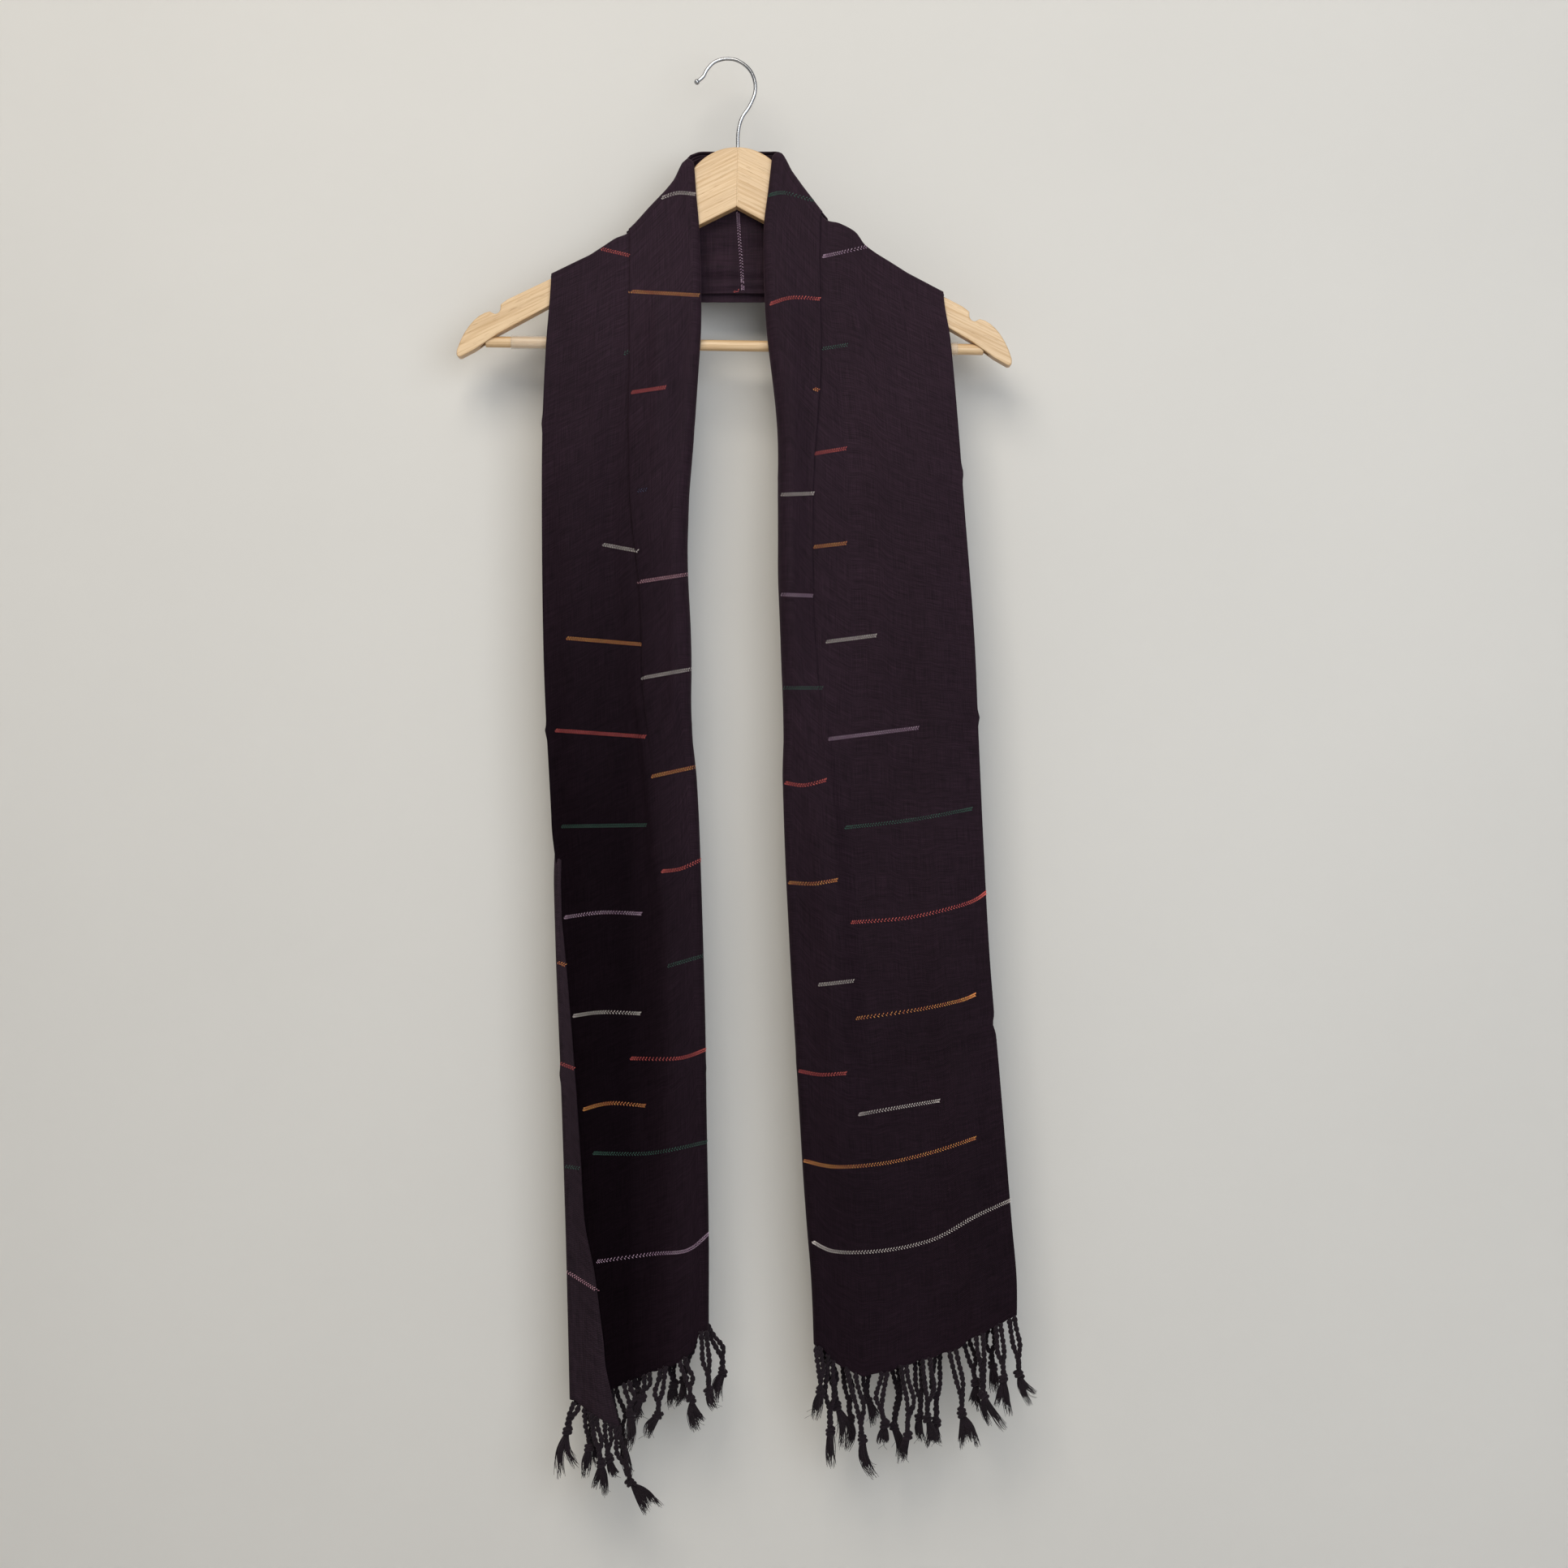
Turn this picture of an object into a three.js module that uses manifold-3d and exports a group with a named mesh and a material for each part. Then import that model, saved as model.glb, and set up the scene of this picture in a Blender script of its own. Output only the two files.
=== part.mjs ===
// A handwoven stole, folded lengthwise to a band, hung like a shawl collar on a wooden hanger.
// Millimetres, +Z up, +X to the viewer's right, -Y towards the viewer.
// The origin is the underside of the hook's crown, where the hanger rests on a rail or peg.
import * as THREE from "three";
import { mergeVertices } from "three/addons/utils/BufferGeometryUtils.js";
import Module from "manifold-3d";

const wasm = await Module();
wasm.setup();

// ---- driving sizes -------------------------------------------------------------------------

const SEAM = 0.3; // air between two pieces that meet
const MEAN_HEM = -1045; // mean height of the woven ends
const CLOTH = 1.1; // one folded layer of the band: two thicknesses of twill and the air in them
const ROLL_CLOTH = 1.3; // the collar roll's wall
const COLLAR_GAP = 0.5; // air under the turned collar at its seam
const BEND = 0.03; // share of a hanging end's length that bends over the hanger's arm
const BEND_DROP = 3.2; // how far the cloth falls while it bends over the arm
const STACK = 2.9; // outer face to under face of the band where it crosses the arm
const ARM_CLEAR = 0.8; // the cloth's underside above the arm's top edge

const HANGER = {
  centre: 7.8, // x of the joint between the two arms
  tilt: THREE.MathUtils.degToRad(0.9), // it hangs a little lower on its right
  thick: 12.6,
  round: 1.1, // rounding of its edges
  top: -70.7,
  blockRadius: 43,
  blockAngle: THREE.MathUtils.degToRad(51.8),
  barZ: -228.6,
  barRadius: 4.4,
  barReach: 205, // the bar's end, inside its socket in the arm
  socketRadius: 4.7,
  socketReach: 206,
  sleeveRadius: 5.2,
  sleeveIn: 118,
  sleeveOut: 179,
};
const HOOK = { wire: 1.5, ball: 2.3, hole: 2.0, holeDepth: 21 };

// The hook's wire, from its free end over the crown and down into the block.
const HOOK_PATH = [
  { x: -24.8, z: -17.0 },
  { x: -19.8, z: -12.8 },
  { x: -16.6, z: -7.0 },
  { x: -10.5, z: -1.0 },
  { x: -1.2, z: 1.5 },
  { x: 8.4, z: -0.2 },
  { x: 17.2, z: -7.0 },
  { x: 21.4, z: -16.0 },
  { x: 21.6, z: -26.0 },
  { x: 17.2, z: -36.8 },
  { x: 11.2, z: -46.0 },
  { x: 8.3, z: -57.0 },
  { x: 7.9, z: -70.0 },
  { x: 7.6, z: -90.0 },
];

// One hanging end from the shoulder down: its outer and inner silhouettes, the free edge of the
// collar roll, and how far its front and back faces stand from the hanger's middle plane.
const LEFT_OUTLINE = [
  { z: -76, outer: -141, inner: -28.6, roll: -80, front: -10.6, back: -7.2 },
  { z: -108, outer: -141, inner: -26.2, roll: -80, front: -10.6, back: -7.2 },
  { z: -135, outer: -141, inner: -24.2, roll: -80, front: -10.6, back: -7.2 },
  { z: -177, outer: -141, inner: -23.2, roll: -79.5, front: -10.6, back: -7.2 },
  { z: -230, outer: -145, inner: -23.2, roll: -77.5, front: -11.5, back: -7.2 },
  { z: -300, outer: -147.8, inner: -27.3, roll: -76, front: -14, back: -7.2 },
  { z: -380, outer: -148, inner: -34, roll: -73, front: -16, back: -7 },
  { z: -460, outer: -147, inner: -30, roll: -70, front: -17, back: -6.5 },
  { z: -520, outer: -145, inner: -28, roll: -67, front: -18, back: -6 },
  { z: -615, outer: -140, inner: -23, roll: -58, front: -19, back: -5.5 },
  { z: -720, outer: -137, inner: -20, roll: -50, front: -19, back: -5 },
  { z: -820, outer: -133, inner: -17.5, roll: -50, front: -19, back: -5 },
  { z: -930, outer: -129.5, inner: -15.5, roll: -50, front: -19, back: -5 },
  { z: -1030, outer: -127, inner: -15, roll: -50, front: -18.5, back: -5 },
  { z: -1095, outer: -125.5, inner: -15, roll: -50, front: -18, back: -5 },
];
const RIGHT_OUTLINE = [
  { z: -76, outer: 172.5, inner: 37, roll: 78, front: -10.6, back: -7.2 },
  { z: -108, outer: 172.5, inner: 33.2, roll: 78, front: -10.6, back: -7.2 },
  { z: -135, outer: 172.5, inner: 30.4, roll: 78, front: -10.6, back: -7.2 },
  { z: -190, outer: 172.5, inner: 31.4, roll: 74.5, front: -10.6, back: -7.2 },
  { z: -225, outer: 177.8, inner: 33.4, roll: 73.5, front: -11.5, back: -7.2 },
  { z: -300, outer: 184.5, inner: 41, roll: 70, front: -14, back: -7.2 },
  { z: -355, outer: 188.5, inner: 41.5, roll: 68.5, front: -16, back: -7 },
  { z: -460, outer: 196.5, inner: 42.3, roll: 68.5, front: -17, back: -6.5 },
  { z: -540, outer: 200, inner: 43.5, roll: 75, front: -18, back: -6 },
  { z: -620, outer: 203.5, inner: 45.5, roll: 84, front: -19, back: -5.5 },
  { z: -720, outer: 209, inner: 50.5, roll: 90, front: -19.5, back: -5 },
  { z: -820, outer: 217.5, inner: 56.5, roll: 90, front: -19.5, back: -5 },
  { z: -930, outer: 226.5, inner: 63.5, roll: 90, front: -19, back: -5 },
  { z: -980, outer: 230.5, inner: 67, roll: 90, front: -19, back: -5 },
  { z: -1050, outer: 229, inner: 69.5, roll: 90, front: -18.5, back: -5 },
];

// The line of the cloth over the hanger's arms.
const LEFT_SHOULDER = [
  { x: -141, z: -176.0 },
  { x: -122, z: -164.3 },
  { x: -91, z: -144.2 },
  { x: -75.5, z: -132.5 },
  { x: -60, z: -115.5 },
  { x: -44, z: -98.6 },
  { x: -28.6, z: -81.1 },
  { x: -20, z: -75.9 },
];
const RIGHT_SHOULDER = [
  { x: 32, z: -75.2 },
  { x: 39.7, z: -79.1 },
  { x: 47.5, z: -88.2 },
  { x: 63, z: -107.7 },
  { x: 78.7, z: -125.3 },
  { x: 102, z: -138.3 },
  { x: 110, z: -149.0 },
  { x: 133, z: -164.3 },
  { x: 173, z: -189.5 },
];

// The woven ends, from the inner side outwards.
const LEFT_HEM = [
  { x: -126, z: -1077 },
  { x: -105, z: -1069 },
  { x: -86, z: -1060 },
  { x: -63, z: -1050 },
  { x: -32, z: -1038 },
  { x: -21, z: -1030 },
  { x: -15, z: -1016 },
];
const RIGHT_HEM = [
  { x: 69.5, z: -1028 },
  { x: 76, z: -1037 },
  { x: 89, z: -1045 },
  { x: 106, z: -1050 },
  { x: 139, z: -1042 },
  { x: 178, z: -1031 },
  { x: 194, z: -1020 },
  { x: 213, z: -1011 },
  { x: 229, z: -1003 },
];

// The left end's outer layer turns forward and shows its reverse: its free edge and its hem.
const FLAP_EDGE = [
  { z: -520, x: -141.5 },
  { z: -640, x: -138 },
  { z: -692, x: -131.5 },
  { z: -795, x: -122.7 },
  { z: -876, x: -117 },
  { z: -930, x: -113.5 },
  { z: -966, x: -106 },
  { z: -1020, x: -98.5 },
  { z: -1045, x: -96 },
  { z: -1095, x: -84 },
];
const FLAP_HEM = [
  { x: -126, z: -1072 },
  { x: -120, z: -1074 },
  { x: -104, z: -1083 },
  { x: -94, z: -1088 },
  { x: -84, z: -1092 },
];
const FLAP_TOP = -520;
const FLAP_BACK = 9; // how far the flap runs behind the left silhouette before its seam
const FLAP_INSET = 3.6; // the front layer's edge inside the flap's fold
const FLAP_GAP = 0.9; // air between the flap and the front layer
const FLAP_FOLD_REACH = 4.5; // how far in from the silhouette the flap's fold starts to turn
const FLAP_LEAST = 1.5; // the flap's least width in front, at its top
// Shares of the flap's section: its part behind the silhouette, and the end of its fold.
const FLAP_SECTION = { back: 0.22, fold: 0.42 };

// Soft lengthwise folds of the front layer. at and atEnd are shares of the width from the outer
// edge, where the fold starts and ends; wide is its half width; rise is towards the viewer.
const LEFT_FOLDS = [
  { from: -170, to: -640, at: 0.5, atEnd: 0.62, wide: 0.16, rise: -2.0 },
  { from: -560, to: -1090, at: 0.82, atEnd: 0.78, wide: 0.24, rise: 5.0 },
  { from: -640, to: -1090, at: 0.52, atEnd: 0.42, wide: 0.2, rise: -3.0 },
  { from: -260, to: -900, at: 0.22, atEnd: 0.2, wide: 0.2, rise: 2.0 },
];
const RIGHT_FOLDS = [
  { from: -170, to: -600, at: 0.6, atEnd: 0.66, wide: 0.14, rise: -2.0 },
  { from: -500, to: -1080, at: 0.82, atEnd: 0.72, wide: 0.26, rise: 5.5 },
  { from: -560, to: -1060, at: 0.48, atEnd: 0.42, wide: 0.22, rise: -3.0 },
  { from: -260, to: -1040, at: 0.25, atEnd: 0.18, wide: 0.2, rise: 2.5 },
];

// The collar roll: how far it bulges over the front, and where it fades out.
const ROLL = {
  top: -120, // the height at which its width over the arm is taken
  bulge: 4.5,
  ridgeBulge: 0.5, // the bulge and the air under it where it lies on the arm
  ridgeGap: 0.9,
  fadeFrom: -420,
  end: -604,
  wrap: 0.75, // share of the bulge left at the neck edge
};

// The back of the neck: the stand against the hanger, the layer behind it, the turned collar.
const NECK = {
  left: -21,
  right: 35,
  ease: 12,
  top: -73.5,
  lip: 1.4, // how far forward the stand's upper edge turns over towards the block
  least: 8, // the least height of a layer, at the outer ends over the arms
  bend: 0.16, // share of a layer's height that bends over the arm
  outerDepth: 10, // how far the two layers' outer faces stand behind the middle plane
  innerDepth: 8.1,
  lower: -192,
  step: 6,
  collarEdge: -133,
  leftEnd: -141,
  rightEnd: 172.5,
};

// The turned collar's lift off the layer behind the neck, at its edges and more at its middle.
const COLLAR_LIFT = { edge: 1.5, middle: 2.6 };

// Tassels: two twisted cords from the hem, joined in a knot above a frayed tuft. root is where
// they leave the hem, spread the space between the two, bow their sideways sway.
const FRINGE = {
  cord: 1.5,
  knot: 2.4,
  tuft: 3.1,
  tip: 1.2,
  gap: 1.0, // air between the hem and the strip that the cords are rooted in
  strip: 3, // the strip's height
  halfStrip: 0.55, // half its thickness
  lane: 2.3, // neighbouring tassels hang this far before or behind the hem
  part: 1.2, // the two cords of a pair bow this far apart
  joinSide: 4.4, // where the second cord meets the knot, beside and above its middle
  joinUp: 6,
};
const RIGHT_FRONT_TASSELS = [
  { root: 72, spread: 3, bow: 1, knotX: 74, knotZ: -1062, tipX: 70, tipZ: -1081 },
  { root: 82, spread: 4, bow: -1, knotX: 82, knotZ: -1094, tipX: 83, tipZ: -1121 },
  { root: 98, spread: 7, bow: 2, knotX: 107, knotZ: -1099, tipX: 115, tipZ: -1126 },
  { root: 125, spread: 4, bow: -5, knotX: 125, knotZ: -1088, tipX: 124, tipZ: -1103 },
  { root: 140, spread: 4, bow: 3, knotX: 143, knotZ: -1097, tipX: 141, tipZ: -1113 },
  { root: 158, spread: 6, bow: 2, knotX: 159, knotZ: -1085, tipX: 164, tipZ: -1105 },
  { root: 179, spread: 5, bow: 3, knotX: 186, knotZ: -1079, tipX: 192, tipZ: -1104 },
  { root: 200, spread: 5, bow: 1, knotX: 203, knotZ: -1065, tipX: 218, tipZ: -1089 },
  { root: 215, spread: 4, bow: 1, knotX: 219, knotZ: -1052, tipX: 223, tipZ: -1078 },
  { root: 226, spread: 4, bow: 2, knotX: 232, knotZ: -1050, tipX: 240, tipZ: -1072 },
];
const RIGHT_BACK_TASSELS = [
  { root: 77, spread: 4, bow: 1, knotX: 87, knotZ: -1076, tipX: 91, tipZ: -1107 },
  { root: 93, spread: 4, bow: 1, knotX: 98, knotZ: -1088, tipX: 96, tipZ: -1110 },
  { root: 111, spread: 4, bow: -2, knotX: 112, knotZ: -1072, tipX: 116, tipZ: -1090 },
  { root: 133, spread: 4, bow: 4, knotX: 133, knotZ: -1094, tipX: 138, tipZ: -1119 },
  { root: 151, spread: 4, bow: 2, knotX: 153, knotZ: -1085, tipX: 156, tipZ: -1103 },
  { root: 168, spread: 4, bow: -1, knotX: 167, knotZ: -1090, tipX: 166, tipZ: -1106 },
  { root: 190, spread: 4, bow: 1, knotX: 198, knotZ: -1058, tipX: 201, tipZ: -1078 },
  { root: 210, spread: 4, bow: -1, knotX: 212, knotZ: -1046, tipX: 213, tipZ: -1064 },
];
const FLAP_TASSELS = [
  { root: -120, spread: 4, bow: -2, knotX: -127, knotZ: -1094, tipX: -133, tipZ: -1127 },
  { root: -112, spread: 4, bow: 1, knotX: -110, knotZ: -1108, tipX: -113, tipZ: -1129 },
  { root: -106, spread: 4, bow: 0, knotX: -100, knotZ: -1118, tipX: -98, tipZ: -1141 },
  { root: -95, spread: 4, bow: -1, knotX: -94, knotZ: -1115, tipX: -89, tipZ: -1130 },
  { root: -88, spread: 3, bow: -1, knotX: -77, knotZ: -1134, tipX: -59, tipZ: -1155 },
];
const LEFT_FRONT_TASSELS = [
  { root: -80, spread: 4, bow: 1, knotX: -77, knotZ: -1080, tipX: -79, tipZ: -1107 },
  { root: -64, spread: 4, bow: 1, knotX: -68, knotZ: -1068, tipX: -74, tipZ: -1086 },
  { root: -51, spread: 4, bow: -1, knotX: -55, knotZ: -1080, tipX: -63, tipZ: -1095 },
  { root: -36, spread: 4, bow: 2, knotX: -29, knotZ: -1068, tipX: -22, tipZ: -1089 },
  { root: -19, spread: 4, bow: 1, knotX: -15, knotZ: -1061, tipX: -10, tipZ: -1074 },
];
const LEFT_BACK_TASSELS = [
  { root: -112, spread: 4, bow: 1, knotX: -108, knotZ: -1104, tipX: -105, tipZ: -1122 },
  { root: -92, spread: 4, bow: 2, knotX: -84, knotZ: -1108, tipX: -79, tipZ: -1130 },
  { root: -71, spread: 4, bow: -1, knotX: -72, knotZ: -1066, tipX: -70, tipZ: -1084 },
  { root: -45, spread: 4, bow: -1, knotX: -43, knotZ: -1060, tipX: -46, tipZ: -1076 },
  { root: -28, spread: 4, bow: -1, knotX: -35, knotZ: -1056, tipX: -40, tipZ: -1074 },
  { root: -18, spread: 3, bow: 5, knotX: -4, knotZ: -1050, tipX: -8, tipZ: -1071 },
];

// ---- finishes ------------------------------------------------------------------------------

const finish = (color, roughness, metalness = 0) =>
  new THREE.MeshStandardMaterial({ color, roughness, metalness });
const TWILL = finish(0x241d22, 0.8);
const TWILL_REVERSE = finish(0x3c3339, 0.85);
const BEECH = finish(0xdebb93, 0.5);
const STEEL = finish(0xb8babd, 0.25, 1);
const CLEAR_SLEEVE = finish(0xd9cdbd, 0.3);

// ---- helpers -------------------------------------------------------------------------------

const { lerp, smoothstep } = THREE.MathUtils;

// A smooth function through two columns of a table.
function through(rows, key, value) {
  const table = [...rows].sort((a, b) => a[key] - b[key]);
  const slope = table.map((row, i) => {
    const before = table[Math.max(0, i - 1)];
    const after = table[Math.min(table.length - 1, i + 1)];
    return (after[value] - before[value]) / (after[key] - before[key]);
  });
  return (at) => {
    if (at <= table[0][key]) return table[0][value];
    const last = table.length - 1;
    if (at >= table[last][key]) return table[last][value];
    const i = table.findIndex((row) => row[key] > at) - 1;
    const span = table[i + 1][key] - table[i][key];
    const t = (at - table[i][key]) / span;
    const rise = table[i + 1][value] - table[i][value];
    const bendIn = slope[i] * span - rise;
    const bendOut = rise - slope[i + 1] * span;
    return table[i][value] + t * rise + t * (1 - t) * ((1 - t) * bendIn + t * bendOut);
  };
}

const steps = (count, from = 0, to = 1) =>
  Array.from({ length: count + 1 }, (_, i) => lerp(from, to, i / count));

// The point of a face at (u, v), moved out along the face's normal. sign turns the normal.
function lifted(face, u, v, lift, sign) {
  const reach = 1e-3;
  const across = face(Math.min(1, u + reach), v).sub(face(Math.max(0, u - reach), v));
  const down = face(u, Math.min(1, v + reach)).sub(face(u, Math.max(0, v - reach)));
  const normal = across.cross(down).normalize().multiplyScalar(sign);
  return face(u, v).addScaledVector(normal, lift);
}

// A closed geometry from a list of points and a list of triangles, turned to face outwards.
function closed(points, faces) {
  let volume = 0;
  for (const [a, b, c] of faces) {
    volume += points[a].dot(new THREE.Vector3().crossVectors(points[b], points[c]));
  }
  const turned = volume < 0 ? faces.map(([a, b, c]) => [a, c, b]) : faces;
  const geometry = new THREE.BufferGeometry().setFromPoints(points);
  geometry.setIndex(turned.flat());
  return geometry;
}

// A wall of cloth between two lifts of one face.
function wall(face, us, vs, low, high, sign) {
  const points = [];
  const faces = [];
  const columns = us.length;
  const layer = columns * vs.length;
  for (const lift of [high, low]) {
    for (const v of vs) {
      for (const u of us) points.push(lifted(face, u, v, lift(u, v), sign));
    }
  }
  const at = (side, row, column) => side * layer + row * columns + column;
  const quad = (a, b, c, d) => faces.push([a, b, c], [a, c, d]);
  for (let row = 0; row < vs.length - 1; row++) {
    for (let column = 0; column < columns - 1; column++) {
      const ring = [[row, column], [row, column + 1], [row + 1, column + 1], [row + 1, column]];
      quad(...ring.map(([r, c]) => at(0, r, c)));
      quad(...ring.reverse().map(([r, c]) => at(1, r, c)));
    }
  }
  const last = vs.length - 1;
  for (let column = 0; column < columns - 1; column++) {
    quad(at(0, 0, column), at(1, 0, column), at(1, 0, column + 1), at(0, 0, column + 1));
    quad(at(0, last, column + 1), at(1, last, column + 1), at(1, last, column), at(0, last, column));
  }
  for (let row = 0; row < last; row++) {
    const right = columns - 1;
    quad(at(0, row + 1, 0), at(1, row + 1, 0), at(1, row, 0), at(0, row, 0));
    quad(at(0, row, right), at(1, row, right), at(1, row + 1, right), at(0, row + 1, right));
  }
  return closed(points, faces);
}

function toSolid(geometry) {
  const bare = new THREE.BufferGeometry();
  bare.setAttribute("position", geometry.getAttribute("position"));
  bare.setIndex(geometry.getIndex());
  const merged = mergeVertices(bare, 1e-4);
  const triVerts = new Uint32Array(merged.index.array);
  const vertProperties = merged.attributes.position.array;
  return new wasm.Manifold(new wasm.Mesh({ numProp: 3, vertProperties, triVerts }));
}

function toGeometry(solid) {
  const mesh = solid.getMesh();
  const geometry = new THREE.BufferGeometry();
  geometry.setAttribute("position", new THREE.BufferAttribute(mesh.vertProperties, 3));
  geometry.setIndex(new THREE.BufferAttribute(mesh.triVerts, 1));
  return geometry;
}

const root = new THREE.Group();
function addPiece(name, geometry, material) {
  const mesh = new THREE.Mesh(geometry, material);
  mesh.name = name;
  root.add(mesh);
}

// ---- the hanger ----------------------------------------------------------------------------

// Half of the hanger seen from the front, x from the joint outwards: half a rounded block, a
// swept neck, a straight arm with a strap notch and a round tip.
function armShape() {
  const { top, blockRadius, blockAngle } = HANGER;
  const shape = new THREE.Shape();
  const joint = SEAM / 2;
  const upright = Math.acos(joint / blockRadius);
  shape.absarc(0, top - blockRadius, blockRadius, upright, Math.PI / 2 - blockAngle, true);
  shape.bezierCurveTo(52, -111, 68, -137.5, 92, -150.5);
  shape.lineTo(150.9, -179.8);
  shape.lineTo(182.2, -195.4);
  shape.lineTo(187.4, -199.4);
  shape.lineTo(187.6, -203.2);
  shape.quadraticCurveTo(188.6, -206.9, 192.3, -207);
  shape.lineTo(196, -205.1);
  shape.bezierCurveTo(206, -206.5, 216.5, -219, 221.8, -236);
  shape.quadraticCurveTo(223.2, -242.8, 218.5, -241.8);
  shape.lineTo(208, -236);
  shape.lineTo(190, -223.4);
  shape.lineTo(30, -133.8);
  shape.lineTo(joint, -118.4);
  shape.closePath();
  return shape;
}

function tube(path, radius, sides, segments) {
  const section = new THREE.Shape();
  section.absarc(0, 0, radius, 0, 2 * Math.PI);
  const options = { steps: segments, curveSegments: sides / 2, extrudePath: path };
  return new THREE.ExtrudeGeometry(section, options);
}

const straight = (ax, az, bx, bz) =>
  new THREE.LineCurve3(new THREE.Vector3(ax, 0, az), new THREE.Vector3(bx, 0, bz));

// The hanger's own frame is upright about its joint; this tilts and shifts it to where it hangs.
function hang(geometry) {
  geometry.translate(0, 0, -HANGER.top);
  geometry.rotateY(HANGER.tilt);
  geometry.translate(HANGER.centre, 0, HANGER.top);
  return geometry;
}

function armGeometry(side) {
  const { thick, round } = HANGER;
  const depth = thick - 2 * round;
  const arm = new THREE.ExtrudeGeometry(armShape(), {
    depth,
    curveSegments: 7,
    bevelEnabled: true,
    bevelThickness: round,
    bevelSize: round,
    bevelOffset: -round,
    bevelSegments: 2,
  });
  arm.translate(0, 0, -depth / 2);
  arm.rotateX(Math.PI / 2);
  const shank = straight(0, HANGER.top + 5, 0, HANGER.top - HOOK.holeDepth);
  const socket = straight(170, HANGER.barZ, HANGER.socketReach, HANGER.barZ);
  const drilled = toSolid(arm)
    .subtract(toSolid(tube(shank, HOOK.hole, 10, 1)))
    .subtract(toSolid(tube(socket, HANGER.socketRadius, 16, 1)));
  const mirrored = side < 0 ? drilled.mirror([1, 0, 0]) : drilled;
  return hang(toGeometry(mirrored));
}

function barGeometry() {
  const path = straight(-HANGER.barReach, HANGER.barZ, HANGER.barReach, HANGER.barZ);
  return hang(tube(path, HANGER.barRadius, 16, 1));
}

function sleeveGeometry(side) {
  const { socketRadius, sleeveRadius, sleeveIn, sleeveOut, barZ } = HANGER;
  const ring = new THREE.Shape();
  ring.absarc(0, 0, sleeveRadius, 0, 2 * Math.PI);
  ring.holes.push(new THREE.Path().absarc(0, 0, socketRadius, 0, 2 * Math.PI));
  const path = straight(side * sleeveIn, barZ, side * sleeveOut, barZ);
  return hang(new THREE.ExtrudeGeometry(ring, { steps: 1, curveSegments: 8, extrudePath: path }));
}

function hookGeometry() {
  const points = HOOK_PATH.map(({ x, z }) => new THREE.Vector3(x, 0, z));
  const wire = tube(new THREE.CatmullRomCurve3(points), HOOK.wire, 8, 38);
  const ball = new THREE.SphereGeometry(HOOK.ball, 10, 7);
  ball.translate(HOOK_PATH[0].x, 0, HOOK_PATH[0].z);
  return toGeometry(toSolid(wire).add(toSolid(ball)));
}

// ---- the hanging ends ----------------------------------------------------------------------

// The arm's top edge under the cloth, from the hanger's centre outwards.
const ARM_TOP = [
  { x: 0, z: -70.7 },
  { x: 20, z: -75.6 },
  { x: 33.8, z: -87.1 },
  { x: 52, z: -110 },
  { x: 72, z: -133.5 },
  { x: 92, z: -150.5 },
  { x: 110, z: -159.5 },
  { x: 130, z: -169.4 },
  { x: 150.9, z: -179.8 },
  { x: 182.2, z: -195.4 },
];
const armTop = through(ARM_TOP, "x", "z");
function armEdge(x) {
  const { centre, tilt, top } = HANGER;
  const sag = armTop(Math.abs(x - centre)) - top;
  const out = x - centre - sag * Math.sin(tilt);
  return armTop(Math.abs(out)) - out * Math.sin(tilt);
}

// The height that a thickness of one millimetre takes on the arm's slope at x.
function steep(x) {
  const reach = 3;
  const slope = (armEdge(x + reach) - armEdge(x - reach)) / (2 * reach);
  return Math.hypot(1, slope);
}

function makeEnd(side, outline, shoulder, hem, folds) {
  const column = (name) => through(outline, "z", name);
  return {
    side,
    outer: column("outer"),
    inner: column("inner"),
    roll: column("roll"),
    front: column("front"),
    back: column("back"),
    shoulder: through(shoulder, "x", "z"),
    hem: through(hem, "x", "z"),
    folds,
    topOuter: outline[0].outer,
    topInner: outline[0].inner,
  };
}

const LEFT = makeEnd(-1, LEFT_OUTLINE, LEFT_SHOULDER, LEFT_HEM, LEFT_FOLDS);
const RIGHT = makeEnd(1, RIGHT_OUTLINE, RIGHT_SHOULDER, RIGHT_HEM, RIGHT_FOLDS);

// How far the roll bulges off the front at its fullest, at height z.
function rollBulge(z) {
  const full = lerp(ROLL.ridgeBulge, ROLL.bulge, smoothstep(-z, 130, 260));
  return full * (1 - smoothstep(-z, -ROLL.fadeFrom, -ROLL.end));
}

const rollGap = (z) => lerp(ROLL.ridgeGap, COLLAR_GAP, smoothstep(-z, 150, 260));

// How far the roll's thickness pushes the end beneath it in from the silhouette.
function tuck(z) {
  const stack = rollGap(z) + ROLL_CLOTH + ROLL.wrap * rollBulge(z);
  return stack * smoothstep(z, ROLL.end - 50, ROLL.end);
}

// The fold at the neck side bulges over a higher part of the arm: where it starts, inside the
// silhouette, how far it reaches, and how soon its lift fades outwards.
const NECK_FOLD = { start: 4, reach: 4.5, fade: 9 };

// The height at which the band crosses the arm at x, lowered where the roll lies on it.
function crossing(end, x) {
  const rollEdge = end.roll(ROLL.top);
  const underRoll = 1 - smoothstep(end.side * (x - rollEdge), -2, 12);
  const roll = ROLL.ridgeGap + ROLL_CLOTH + ROLL.ridgeBulge;
  const seen = end.shoulder(x) - underRoll * roll * steep(x);
  const fromFold = end.side * (x - end.topInner) - NECK_FOLD.start;
  const inward = end.side * NECK_FOLD.reach * (1 - smoothstep(fromFold, 0, NECK_FOLD.fade));
  return Math.max(seen, armEdge(x - inward) + (ARM_CLEAR + STACK) * steep(x));
}

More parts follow.
